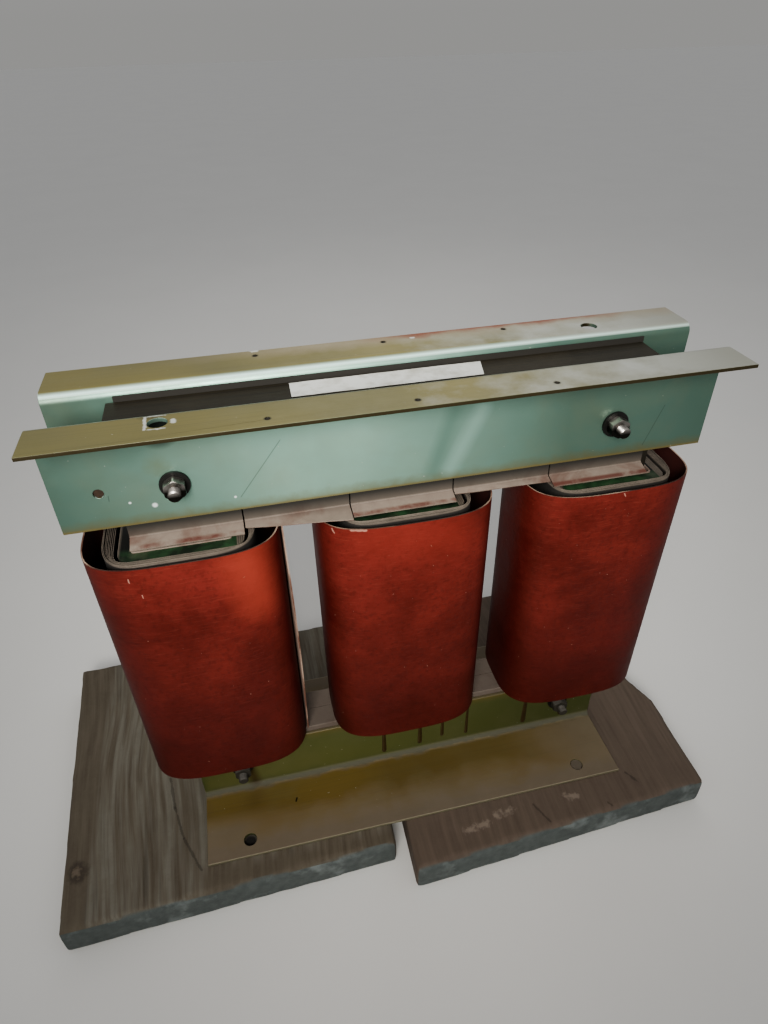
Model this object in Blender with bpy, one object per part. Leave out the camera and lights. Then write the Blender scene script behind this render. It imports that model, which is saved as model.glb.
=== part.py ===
"""Open dry-type three-phase transformer, standing on two plank boards.

Three wound coils sit on the legs of a laminated core. Folded steel clamps squeeze the yokes from
both sides, with tie bolts through them. Metres, +Z up, +X along the yokes, -Y towards the viewer.
The origin lies on the floor, under the middle of the core.
"""
import math

import bmesh
import bpy
from mathutils import Matrix, Vector

# Fits and steps shared by all the pieces
SEAT_GAP = 0.0003
CUT_OVERRUN = 0.002
SMOOTH_ANGLE = math.radians(35)
QUARTER_TURN = math.radians(90)
HALF_TURN = math.radians(180)
FULL_TURN = math.radians(360)
BEND_STEPS = 6
ROUND_STEPS = 24
OVAL_STEPS = 40

# Plank boards under the transformer
BOARD_THICKNESS = 0.048
BOARD_EDGE_ROUND = 0.003
BOARD_BACK = 0.262
LEFT_BOARD_LEFT = -0.476
LEFT_BOARD_RIGHT = -0.046
LEFT_BOARD_FRONT = -0.178
LEFT_BOARD_SKEW = 0.014
LEFT_BOARD_SPLAY = 0.020
RIGHT_BOARD_RIGHT = 0.405
RIGHT_BOARD_FRONT = -0.207
RIGHT_BOARD_SKEW = 0.026
RIGHT_BOARD_BULGE = 0.006
RIGHT_BOARD_CHIP = 0.0125
CHIP_START = -0.031
CHIP_END = 0.014
BOARD_GAP = 0.016
BOARD_GAP_LEAN = 0.012

# Laminated core
LEG_WIDTH = 0.098
YOKE_HEIGHT = 0.098
CORE_DEPTH = 0.056
YOKE_LIFT = 0.004

# Coils, from the leg outwards
FRONT_DUCT = 0.0123
FORMER_WALL = 0.0015
INNER_WINDING_WALL = 0.013
INNER_WINDING_SINK = 0.001
SIDE_DUCT = 0.0035
OUTER_WINDING_WALL = 0.0141
OUTER_WINDING_PROUD = 0.001
PAPER_LAYERS = 5
PAPER_EDGE_SHARE = 0.09
GROOVE_DEPTH = 0.004
SIDE_SPACE = 0.0174
WRAP_HEIGHT = 0.355
WRAP_SHEET = 0.0016
FREE_EDGE_LIFT_LOW = 0.0015
FREE_EDGE_LIFT_HIGH = 0.003
COIL_SPACING = 0.0396
COIL_HEADROOM = 0.033
LEFT_COIL_FORWARD = 0.0035
MIDDLE_COIL_BACK = 0.0026

# How round the plans are, from 0 for a rectangle to 1 for an ellipse, and where the wrap laps over itself
FORMER_ROUND_SHARE = 0.083
WINDING_ROUND_SHARE = 0.22
WRAP_ROUND_SHARE = 0.58
WRAP_STEPS = 43
LAP_START_ANGLE = math.radians(-27)
LAP_END_ANGLE = math.radians(360)
CLIMB_ANGLE = math.radians(27)
LIFT_ANGLE = math.radians(18)

# Pressboard sheets between the yokes and the clamps
SHEET_INSULATION = 0.0015
SHEET_SHORT = 0.003
SHEET_SHIFT = 0.0055
SHEET_PROUD = 0.006
SLIT_WIDTH = 0.0015
SLIT_UNDER_WEB = 0.003
FOLD_RADIUS = 0.001
TAB_CLEARANCE = 0.0085
TAB_MARGIN = 0.009
OUTER_TAB_MARGIN = 0.0205
TAB_REACH = 0.0165
TAB_DROP = 0.005
LEFT_FLAP_REACHES = (0.0095, 0.024)
RIGHT_FLAP_REACHES = (0.006, 0.009)
FLAP_DROP = 0.0025
FLAP_WAVE = 0.0006
FLAP_COLUMNS = 5
UPRIGHT_TAB = 0.040
LOWER_SHEET_FOOT = 0.012

# Folded clamps
PLATE = 0.004
BEND_RADIUS = 0.011
TOP_CLAMP_OVERHANG = 0.060
WEB_ABOVE_FOLD = 0.017
TOP_FLANGE_REACH = 0.051
TOP_FLANGE_RISE = 0.0145
BOTTOM_CLAMP_OVERHANG = 0.003
YOKE_ABOVE_WEB = 0.007
BOTTOM_FLANGE_REACH = 0.102
LIFT_HOLE_RADIUS = 0.009
LIFT_HOLE_FROM_WEB = 0.0195
TAPPED_HOLE_RADIUS = 0.0025
TAPPED_HOLE_PITCH = 0.139
TAPPED_HOLE_FROM_EDGE = 0.014
EARTH_HOLE_RADIUS = 0.005
EARTH_HOLE_FROM_END = 0.0435
FOOT_HOLE_RADIUS = 0.0085
FOOT_HOLE_INSET = 0.0045
FOOT_HOLE_FROM_WEB = 0.080

# Tie bolts
BOLT_INSET = 0.006
BOLT_FROM_WEB_EDGE = 0.042
BOLT_RADIUS = 0.008
BOLT_HOLE_RADIUS = 0.009
WASHER_RADIUS = 0.015
WASHER_THICKNESS = 0.003
HEX_ACROSS_FLATS = 0.024
HEX_HEIGHT = 0.013
BOLT_STAND_OUT = 0.008

# Sizes that follow, across the core
FORMER_HOLLOW_WIDTH = LEG_WIDTH + 2 * SEAT_GAP
FORMER_HOLLOW_DEPTH = CORE_DEPTH + 2 * FRONT_DUCT
FORMER_WIDTH = FORMER_HOLLOW_WIDTH + 2 * FORMER_WALL
FORMER_DEPTH = FORMER_HOLLOW_DEPTH + 2 * FORMER_WALL
INNER_WINDING_HOLLOW_WIDTH = FORMER_WIDTH + 2 * SEAT_GAP
INNER_WINDING_HOLLOW_DEPTH = FORMER_DEPTH + 2 * SEAT_GAP
INNER_WINDING_WIDTH = INNER_WINDING_HOLLOW_WIDTH + 2 * INNER_WINDING_WALL
INNER_WINDING_DEPTH = INNER_WINDING_HOLLOW_DEPTH + 2 * INNER_WINDING_WALL
OUTER_WINDING_HOLLOW_WIDTH = INNER_WINDING_WIDTH + 2 * SIDE_DUCT
OUTER_WINDING_HOLLOW_DEPTH = INNER_WINDING_DEPTH + 2 * SEAT_GAP
OUTER_WINDING_WIDTH = OUTER_WINDING_HOLLOW_WIDTH + 2 * OUTER_WINDING_WALL
OUTER_WINDING_DEPTH = OUTER_WINDING_HOLLOW_DEPTH + 2 * OUTER_WINDING_WALL
WRAP_WIDTH = OUTER_WINDING_WIDTH + 2 * (SIDE_SPACE + WRAP_SHEET)
WRAP_DEPTH = OUTER_WINDING_DEPTH + 2 * (SEAT_GAP + WRAP_SHEET)
COIL_PITCH = WRAP_WIDTH + COIL_SPACING
COILS = {
    "left": (-COIL_PITCH, -LEFT_COIL_FORWARD),
    "middle": (0.0, MIDDLE_COIL_BACK),
    "right": (COIL_PITCH, 0.0),
}
YOKE_LENGTH = 2 * COIL_PITCH + LEG_WIDTH
SHEET_INNER = CORE_DEPTH / 2 + SEAT_GAP
SHEET_OUTER = SHEET_INNER + SHEET_INSULATION
WEB_INNER = SHEET_OUTER + SEAT_GAP
WEB_OUTER = WEB_INNER + PLATE
TOP_CLAMP_LENGTH = YOKE_LENGTH + 2 * TOP_CLAMP_OVERHANG
BOTTOM_CLAMP_LENGTH = YOKE_LENGTH + 2 * BOTTOM_CLAMP_OVERHANG
BOLT_X = COIL_PITCH - BOLT_INSET
FOOT_HOLE_X = COIL_PITCH - FOOT_HOLE_INSET
EARTH_HOLE_X = TOP_CLAMP_LENGTH / 2 - EARTH_HOLE_FROM_END

# Sizes that follow, upwards
CLAMP_BASE = BOARD_THICKNESS + SEAT_GAP
BOTTOM_YOKE_BASE = CLAMP_BASE + YOKE_LIFT
BOTTOM_YOKE_TOP = BOTTOM_YOKE_BASE + YOKE_HEIGHT
YOKE_FLAP_TOP = BOTTOM_YOKE_TOP + SEAT_GAP + SHEET_INSULATION
COIL_BASE = YOKE_FLAP_TOP + SEAT_GAP
COIL_TOP = COIL_BASE + WRAP_HEIGHT
TOP_YOKE_BASE = COIL_TOP + COIL_HEADROOM
TOP_YOKE_TOP = TOP_YOKE_BASE + YOKE_HEIGHT
TOP_CLAMP_TOP = TOP_YOKE_TOP + TOP_FLANGE_RISE
TAB_FOLD = COIL_TOP + TAB_CLEARANCE
TOP_WEB_BOTTOM = TAB_FOLD + WEB_ABOVE_FOLD
TOP_WEB_HEIGHT = TOP_CLAMP_TOP - TOP_WEB_BOTTOM
BOTTOM_WEB_TOP = BOTTOM_YOKE_TOP - YOKE_ABOVE_WEB
BOTTOM_WEB_HEIGHT = BOTTOM_WEB_TOP - CLAMP_BASE
TOP_BOLT_HEIGHT = TOP_WEB_BOTTOM + BOLT_FROM_WEB_EDGE
BOTTOM_BOLT_HEIGHT = BOTTOM_WEB_TOP - BOLT_FROM_WEB_EDGE

# Colours, roughness and metallic values
STEEL_ZINC = ((0.36, 0.42, 0.33, 1.0), 0.38, 0.85)
STEEL_BOLT = ((0.55, 0.54, 0.50, 1.0), 0.32, 1.0)
CORE_STEEL = ((0.045, 0.032, 0.022, 1.0), 0.62, 0.4)
RED_WRAP = ((0.52, 0.085, 0.03, 1.0), 0.55, 0.0)
PAPER = ((0.42, 0.37, 0.33, 1.0), 0.8, 0.0)
GREEN_VARNISH = ((0.05, 0.11, 0.05, 1.0), 0.45, 0.0)
PRESSBOARD = ((0.50, 0.43, 0.38, 1.0), 0.8, 0.0)
OLD_WOOD = ((0.30, 0.25, 0.19, 1.0), 0.85, 0.0)


def clear_scene():
    """Starts from an empty scene."""
    for old in list(bpy.data.objects):
        bpy.data.objects.remove(old, do_unlink=True)


def finish_of(name, values):
    """A Principled material with one colour, roughness and metallic value."""
    colour, roughness, metallic = values
    material = bpy.data.materials.new(name)
    material.use_nodes = True
    shader = material.node_tree.nodes["Principled BSDF"]
    shader.inputs["Base Color"].default_value = colour
    shader.inputs["Roughness"].default_value = roughness
    shader.inputs["Metallic"].default_value = metallic
    return material


def link(name, mesh, values, location=(0, 0, 0), turn=0.0, parent=None):
    """Puts a mesh into the scene as a named piece with its own material."""
    piece = bpy.data.objects.new(name, mesh)
    bpy.context.collection.objects.link(piece)
    piece.location = location
    piece.rotation_euler = (0, 0, turn)
    piece.parent = parent
    mesh.materials.append(finish_of(name, values))
    return piece


def mesh_of(name, shape):
    """Turns a bmesh into a mesh with outward faces and smooth round stretches."""
    bmesh.ops.recalc_face_normals(shape, faces=shape.faces)
    mesh = bpy.data.meshes.new(name)
    shape.to_mesh(mesh)
    shape.free()
    mesh.shade_smooth()
    mesh.set_sharp_from_angle(angle=SMOOTH_ANGLE)
    return mesh


def extrude_outline(points, direction):
    """Extrudes a flat closed outline along a direction into a bmesh solid."""
    shape = bmesh.new()
    face = shape.faces.new([shape.verts.new(point) for point in points])
    pushed = bmesh.ops.extrude_face_region(shape, geom=[face])
    moved = [item for item in pushed["geom"] if isinstance(item, bmesh.types.BMVert)]
    bmesh.ops.translate(shape, verts=moved, vec=direction)
    return shape


def block(size, base):
    """A rectangular bmesh solid; base is the middle of its lower face."""
    shape = bmesh.new()
    place = Matrix.Translation(Vector(base) + Vector((0, 0, size[2] / 2)))
    bmesh.ops.create_cube(shape, size=1.0, matrix=place @ Matrix.Diagonal((*size, 1.0)))
    return shape


def round_cutter(name, radius, length, location, axis):
    """A hidden cylinder that cuts a hole along Y or Z."""
    shape = bmesh.new()
    turn = Matrix.Rotation(QUARTER_TURN, 4, "X") if axis == "Y" else Matrix.Identity(4)
    bmesh.ops.create_cone(shape, cap_ends=True, segments=ROUND_STEPS, radius1=radius, radius2=radius,
                          depth=length, matrix=turn)
    cutter = bpy.data.objects.new(name, mesh_of(name, shape))
    bpy.context.collection.objects.link(cutter)
    cutter.location = location
    cutter.hide_render = True
    cutter.display_type = "WIRE"
    return cutter


def boolean(piece, other, operation):
    """Adds an exact Boolean with another object to a piece."""
    modifier = piece.modifiers.new(other.name, "BOOLEAN")
    modifier.object = other
    modifier.operation = operation
    modifier.solver = "EXACT"
    return modifier


def guide(name, shape, location):
    """A hidden solid that is joined to a piece by a Boolean."""
    helper = bpy.data.objects.new(name, mesh_of(name, shape))
    bpy.context.collection.objects.link(helper)
    helper.hide_render = True
    helper.display_type = "WIRE"
    helper.location = location
    return helper


def oval_point(width, depth, round_share, angle, outwards=0.0):
    """A point on a squarish oval, moved outwards along the oval's normal."""
    across = math.cos(angle)
    along = math.sin(angle)
    spot = Vector((math.copysign(abs(across) ** round_share, across) * width / 2,
                   math.copysign(abs(along) ** round_share, along) * depth / 2))
    normal = Vector((math.copysign(abs(across) ** (2 - round_share), across) / width,
                     math.copysign(abs(along) ** (2 - round_share), along) / depth))
    return spot + normal.normalized() * outwards


def oval_loop(width, depth, round_share):
    """A closed loop of points in the plane, counter-clockwise from +X."""
    return [oval_point(width, depth, round_share, FULL_TURN * step / OVAL_STEPS) for step in range(OVAL_STEPS)]


def bridge_rows(rows, closed):
    """Bridges rows of points, the last to the first; each row is a loop, or else its ends are capped."""
    shape = bmesh.new()
    rows = [[shape.verts.new(point) for point in row] for row in rows]
    count = len(rows[0])
    for row, following in zip(rows, rows[1:] + rows[:1]):
        for index in range(count if closed else count - 1):
            after = (index + 1) % count
            shape.faces.new((row[index], row[after], following[after], following[index]))
    if not closed:
        shape.faces.new([row[0] for row in rows])
        shape.faces.new([row[-1] for row in reversed(rows)])
    return shape


def at_height(points, height):
    """Lifts a loop of the plane to a height."""
    return [(point.x, point.y, height) for point in points]


def tube_rows(outer, inner, top):
    """Rows for a plain ring between two outlines."""
    return [at_height(outer, 0.0), at_height(outer, top), at_height(inner, top), at_height(inner, 0.0)]


def layered_rows(outer, inner, top):
    """Rows for a ring whose paper edges stand above the wire layers between them."""
    groove_share = (1 - PAPER_LAYERS * PAPER_EDGE_SHARE) / (PAPER_LAYERS - 1)
    steps = []
    for layer in range(PAPER_LAYERS):
        start_share = layer * (PAPER_EDGE_SHARE + groove_share)
        end_share = start_share + PAPER_EDGE_SHARE
        steps += [(start_share, top), (end_share, top)]
        if layer < PAPER_LAYERS - 1:
            steps += [(end_share, top - GROOVE_DEPTH), (end_share + groove_share, top - GROOVE_DEPTH)]
    rows = [at_height(outer, 0.0)]
    for share, height in steps:
        rows.append(at_height([spot.lerp(far, share) for spot, far in zip(outer, inner)], height))
    return rows + [at_height(inner, 0.0)]


def build_boards(parent):
    """Two thick planks side by side, neither quite square to the transformer."""
    left = [
        (LEFT_BOARD_LEFT, LEFT_BOARD_FRONT),
        (LEFT_BOARD_RIGHT, LEFT_BOARD_FRONT + LEFT_BOARD_SKEW),
        (LEFT_BOARD_RIGHT + BOARD_GAP_LEAN, BOARD_BACK),
        (LEFT_BOARD_LEFT - LEFT_BOARD_SPLAY, BOARD_BACK - LEFT_BOARD_SKEW / 2),
    ]
    right = [
        (LEFT_BOARD_RIGHT + BOARD_GAP, RIGHT_BOARD_FRONT),
        (RIGHT_BOARD_RIGHT, RIGHT_BOARD_FRONT + RIGHT_BOARD_SKEW),
        (RIGHT_BOARD_RIGHT + RIGHT_BOARD_BULGE, CHIP_START),
        (RIGHT_BOARD_RIGHT - RIGHT_BOARD_CHIP, CHIP_END),
        (RIGHT_BOARD_RIGHT - RIGHT_BOARD_CHIP, BOARD_BACK),
        (LEFT_BOARD_RIGHT + BOARD_GAP + BOARD_GAP_LEAN, BOARD_BACK),
    ]
    for name, outline in (("left_board", left), ("right_board", right)):
        shape = extrude_outline([(x, y, 0.0) for x, y in outline], (0, 0, BOARD_THICKNESS))
        piece = link(name, mesh_of(name, shape), OLD_WOOD, parent=parent)
        bevel = piece.modifiers.new("worn edges", "BEVEL")
        bevel.width = BOARD_EDGE_ROUND
        bevel.segments = 2
        bevel.limit_method = "ANGLE"


def build_core(parent):
    """Two yokes with bolt holes and three legs between them."""
    size = (YOKE_LENGTH, CORE_DEPTH, YOKE_HEIGHT)
    yokes = (("top", TOP_YOKE_BASE, TOP_BOLT_HEIGHT), ("bottom", BOTTOM_YOKE_BASE, BOTTOM_BOLT_HEIGHT))
    for level, base, bolt_height in yokes:
        name = f"{level}_yoke"
        yoke = link(name, mesh_of(name, block(size, (0, 0, 0))), CORE_STEEL, (0, 0, base), parent=parent)
        for side in (-1, 1):
            cutter = round_cutter(f"{name}_cutter_{side}", BOLT_HOLE_RADIUS, CORE_DEPTH + CUT_OVERRUN,
                                  (side * BOLT_X, 0, bolt_height), "Y")
            boolean(yoke, cutter, "DIFFERENCE")
    leg_base = BOTTOM_YOKE_TOP + SEAT_GAP
    leg_size = (LEG_WIDTH, CORE_DEPTH, TOP_YOKE_BASE - SEAT_GAP - leg_base)
    for side, (x, _) in COILS.items():
        name = f"{side}_leg"
        link(name, mesh_of(name, block(leg_size, (0, 0, 0))), CORE_STEEL, (x, 0, leg_base), parent=parent)


def clamp_profile(web_height, reach):
    """Closed section of an angle in the Y-Z plane: flange level with Z = 0, web rising from it at Y = 0."""
    outer = []
    inner = []
    for step in range(BEND_STEPS + 1):
        angle = QUARTER_TURN * step / BEND_STEPS
        for line, radius in ((outer, BEND_RADIUS), (inner, BEND_RADIUS - PLATE)):
            line.append((-BEND_RADIUS + radius * math.sin(angle), BEND_RADIUS - radius * math.cos(angle)))
    outline = [(-reach - PLATE, 0.0), *outer, (0.0, web_height), (-PLATE, web_height)]
    return outline + inner[::-1] + [(-reach - PLATE, PLATE)]


def build_clamp(name, length, section, location, turn, upside_down, parent):
    """Extrudes an angle section along X and seats it beside the yoke."""
    rise = -1.0 if upside_down else 1.0
    outline = [(-length / 2, y, rise * z) for y, z in section]
    shape = extrude_outline(outline, (length, 0, 0))
    return link(name, mesh_of(name, shape), STEEL_ZINC, location, turn, parent)


def cut_plate(piece, radius, place, axis):
    """Drills a round hole through the thickness of a plate."""
    name = f"{piece.name}_cutter_{len(piece.modifiers)}"
    boolean(piece, round_cutter(name, radius, PLATE + CUT_OVERRUN, place, axis), "DIFFERENCE")


def build_top_clamps(parent):
    """Two like angles, flanges outwards at the top, the rear one turned end for end."""
    section = clamp_profile(TOP_WEB_HEIGHT, TOP_FLANGE_REACH)
    flange_middle = TOP_CLAMP_TOP - PLATE / 2
    tapped_row = WEB_OUTER + TOP_FLANGE_REACH - TAPPED_HOLE_FROM_EDGE
    for side, turn, way in (("front", 0.0, -1.0), ("rear", HALF_TURN, 1.0)):
        place = (0, way * WEB_INNER, TOP_CLAMP_TOP)
        clamp = build_clamp(f"top_clamp_{side}", TOP_CLAMP_LENGTH, section, place, turn, True, parent)
        lift_hole = (way * BOLT_X, way * (WEB_OUTER + LIFT_HOLE_FROM_WEB), flange_middle)
        cut_plate(clamp, LIFT_HOLE_RADIUS, lift_hole, "Z")
        for index in (-1, 0, 1):
            tapped_hole = (index * TAPPED_HOLE_PITCH, way * tapped_row, flange_middle)
            cut_plate(clamp, TAPPED_HOLE_RADIUS, tapped_hole, "Z")
        web_middle = way * (WEB_INNER + PLATE / 2)
        for end in (-1, 1):
            cut_plate(clamp, BOLT_HOLE_RADIUS, (end * BOLT_X, web_middle, TOP_BOLT_HEIGHT), "Y")
        cut_plate(clamp, EARTH_HOLE_RADIUS, (way * EARTH_HOLE_X, web_middle, TOP_BOLT_HEIGHT), "Y")


def build_bottom_clamps(parent):
    """Two shorter angles whose wide flanges are the feet."""
    section = clamp_profile(BOTTOM_WEB_HEIGHT, BOTTOM_FLANGE_REACH)
    for side, turn, way in (("front", 0.0, -1.0), ("rear", HALF_TURN, 1.0)):
        place = (0, way * WEB_INNER, CLAMP_BASE)
        clamp = build_clamp(f"bottom_clamp_{side}", BOTTOM_CLAMP_LENGTH, section, place, turn, False, parent)
        foot_row = way * (WEB_OUTER + FOOT_HOLE_FROM_WEB)
        web_middle = way * (WEB_INNER + PLATE / 2)
        for end in (-1, 1):
            cut_plate(clamp, FOOT_HOLE_RADIUS, (end * FOOT_HOLE_X, foot_row, CLAMP_BASE + PLATE / 2), "Z")
            cut_plate(clamp, BOLT_HOLE_RADIUS, (end * BOLT_X, web_middle, BOTTOM_BOLT_HEIGHT), "Y")


def sheet_strips(inner_slit, outer_slit):
    """The tabs and flaps of a comb sheet from left to right, as (kind, start, end)."""
    end = YOKE_LENGTH / 2 - SHEET_SHORT
    half_slit = SLIT_WIDTH / 2
    return [
        ("tab", -end, -outer_slit - half_slit),
        ("left flap", -outer_slit + half_slit, -inner_slit - half_slit),
        ("tab", -inner_slit + half_slit, inner_slit - half_slit),
        ("right flap", inner_slit + half_slit, outer_slit - half_slit),
        ("tab", outer_slit + half_slit, end),
    ]


def comb_surface(strips, column_of, slit_rows):
    """A slit and folded sheet as one layer; column_of gives its points from top to bottom at a place.

    The columns on both sides of a slit are joined in every row of faces except the slit ones."""
    shape = bmesh.new()
    before = None
    for kind, start, end in strips:
        for step in range(FLAP_COLUMNS + 1):
            share = step / FLAP_COLUMNS
            x = start + (end - start) * share
            column = [shape.verts.new((x, y, z)) for y, z in column_of(kind, share)]
            for row in range(len(column) - 1 if before else 0):
                if step > 0 or row not in slit_rows:
                    shape.faces.new((before[row], before[row + 1], column[row + 1], column[row]))
            before = column
    return shape


def link_sheet(name, shape, turn, shift, bolt_height, parent):
    """Gives a comb surface its thickness, sets it beside the yoke and lets the tie bolts through."""
    mesh = bpy.data.meshes.new(name)
    shape.to_mesh(mesh)
    shape.free()
    sheet = link(name, mesh, PRESSBOARD, (shift, 0, 0), turn, parent)
    board = sheet.modifiers.new("pressboard", "SOLIDIFY")
    board.thickness = SHEET_INSULATION
    board.offset = -1
    board.use_even_offset = True
    middle = (SHEET_INNER + SHEET_OUTER) / 2 * (1.0 if turn else -1.0)
    for end in (-1, 1):
        cutter = round_cutter(f"{name}_cutter_{end}", BOLT_HOLE_RADIUS, SHEET_INSULATION + CUT_OVERRUN,
                              (end * BOLT_X, middle, bolt_height), "Y")
        boolean(sheet, cutter, "DIFFERENCE")


def top_sheet_column(kind, share):
    """Upright panel, then a tab sloping out over the inner winding or a wavy flap folded further out."""
    reach = TAB_REACH
    drop = TAB_DROP
    if kind != "tab":
        first, last = LEFT_FLAP_REACHES if kind == "left flap" else RIGHT_FLAP_REACHES
        reach = first + (last - first) * share
        drop = FLAP_DROP + FLAP_WAVE * math.sin(FULL_TURN * share)
    return [
        (-SHEET_OUTER, TOP_YOKE_TOP + SHEET_PROUD),
        (-SHEET_OUTER, TOP_WEB_BOTTOM + SLIT_UNDER_WEB),
        (-SHEET_OUTER, TAB_FOLD + FOLD_RADIUS),
        (-SHEET_OUTER - FOLD_RADIUS, TAB_FOLD - FOLD_RADIUS * drop / reach),
        (-SHEET_OUTER - reach, TAB_FOLD - drop),
    ]


def bottom_sheet_column(kind, share):
    """Upright panel beside the yoke, then a tab that stays upright or a flap folded in over the yoke."""
    low = [(-SHEET_OUTER, BOTTOM_WEB_TOP - SLIT_UNDER_WEB),
           (-SHEET_OUTER, CLAMP_BASE + BEND_RADIUS + LOWER_SHEET_FOOT)]
    if kind == "tab":
        return [(-SHEET_OUTER, YOKE_FLAP_TOP + UPRIGHT_TAB), (-SHEET_OUTER, YOKE_FLAP_TOP),
                (-SHEET_OUTER, YOKE_FLAP_TOP - FOLD_RADIUS), *low]
    return [(-SEAT_GAP, YOKE_FLAP_TOP), (-SHEET_OUTER + FOLD_RADIUS, YOKE_FLAP_TOP),
            (-SHEET_OUTER, YOKE_FLAP_TOP - FOLD_RADIUS), *low]


def build_sheets(parent):
    """Pressboard between both yokes and their clamps, slit beside each leg."""
    half_leg = LEG_WIDTH / 2
    top_strips = sheet_strips(half_leg + TAB_MARGIN, COIL_PITCH - half_leg - OUTER_TAB_MARGIN)
    bottom_strips = sheet_strips(half_leg, COIL_PITCH - half_leg)
    for side, turn, way in (("front", 0.0, -1.0), ("rear", HALF_TURN, 1.0)):
        surface = comb_surface(top_strips, top_sheet_column, (1, 2, 3))
        link_sheet(f"top_sheet_{side}", surface, turn, way * SHEET_SHIFT, TOP_BOLT_HEIGHT, parent)
        surface = comb_surface(bottom_strips, bottom_sheet_column, (0, 1, 2))
        link_sheet(f"bottom_sheet_{side}", surface, turn, 0.0, BOTTOM_BOLT_HEIGHT, parent)


def wrap_row(height, lift, outwards):
    """One edge line of the wound sheet, from its hidden start round to its free edge.

    It climbs over its own start, and the free edge stands off by the lift."""
    points = []
    for step in range(WRAP_STEPS + 1):
        angle = LAP_START_ANGLE + (LAP_END_ANGLE - LAP_START_ANGLE) * step / WRAP_STEPS
        lap_begins = LAP_START_ANGLE + FULL_TURN
        climb_share = min(max((angle - lap_begins) / CLIMB_ANGLE + 1, 0), 1)
        lift_share = min(max((angle - LAP_END_ANGLE) / LIFT_ANGLE + 1, 0), 1)
        stand_off = climb_share * (WRAP_SHEET + SEAT_GAP) + lift_share ** 2 * lift
        spot = oval_point(WRAP_WIDTH, WRAP_DEPTH, WRAP_ROUND_SHARE, angle, stand_off + outwards)
        points.append((spot.x, spot.y, height))
    return points


def wrap_shape():
    """A sheet wound once round the coil, lapping over itself at the side, its free edge lifting off."""
    rows = [
        wrap_row(0.0, FREE_EDGE_LIFT_LOW, 0.0),
        wrap_row(WRAP_HEIGHT, FREE_EDGE_LIFT_HIGH, 0.0),
        wrap_row(WRAP_HEIGHT, FREE_EDGE_LIFT_HIGH, -WRAP_SHEET),
        wrap_row(0.0, FREE_EDGE_LIFT_LOW, -WRAP_SHEET),
    ]
    shape = bridge_rows(rows, closed=False)
    bmesh.ops.connect_verts_nonplanar(shape, faces=shape.faces)
    return shape


def build_coils(parent):
    """Former, inner winding, layered outer winding and red wrap on each leg."""
    former = (oval_loop(FORMER_WIDTH, FORMER_DEPTH, FORMER_ROUND_SHARE),
              oval_loop(FORMER_HOLLOW_WIDTH, FORMER_HOLLOW_DEPTH, FORMER_ROUND_SHARE))
    inner_winding = (oval_loop(INNER_WINDING_WIDTH, INNER_WINDING_DEPTH, WINDING_ROUND_SHARE),
                     oval_loop(INNER_WINDING_HOLLOW_WIDTH, INNER_WINDING_HOLLOW_DEPTH, FORMER_ROUND_SHARE))
    outer_winding = (oval_loop(OUTER_WINDING_WIDTH, OUTER_WINDING_DEPTH, WRAP_ROUND_SHARE),
                     oval_loop(OUTER_WINDING_HOLLOW_WIDTH, OUTER_WINDING_HOLLOW_DEPTH, WINDING_ROUND_SHARE))
    rings = (
        ("coil_former", PRESSBOARD, tube_rows(*former, WRAP_HEIGHT + SEAT_GAP)),
        ("inner_winding", GREEN_VARNISH, tube_rows(*inner_winding, WRAP_HEIGHT - INNER_WINDING_SINK)),
        ("outer_winding", PAPER, layered_rows(*outer_winding, WRAP_HEIGHT + OUTER_WINDING_PROUD)),
    )
    for side, (x, y) in COILS.items():
        place = (x, y, COIL_BASE)
        for kind, finish, rows in rings:
            name = f"{side}_{kind}"
            link(name, mesh_of(name, bridge_rows(rows, closed=True)), finish, place, parent=parent)
        name = f"{side}_coil_wrap"
        link(name, mesh_of(name, wrap_shape()), RED_WRAP, place, 0.0 if side == "left" else HALF_TURN, parent)


def hexagon(across, height, base):
    """A six-sided prism along Y, from base outwards along -Y."""
    radius = across / 2 / math.cos(FULL_TURN / 12)
    outline = []
    for corner in range(6):
        angle = FULL_TURN * corner / 6
        outline.append((radius * math.sin(angle), base, radius * math.cos(angle)))
    return extrude_outline(outline, (0, -height, 0))


def disc(radius, height, base):
    """A round plate along Y, from base outwards along -Y."""
    outline = []
    for corner in range(ROUND_STEPS):
        angle = FULL_TURN * corner / ROUND_STEPS
        outline.append((radius * math.sin(angle), base, radius * math.cos(angle)))
    return extrude_outline(outline, (0, -height, 0))


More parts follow.
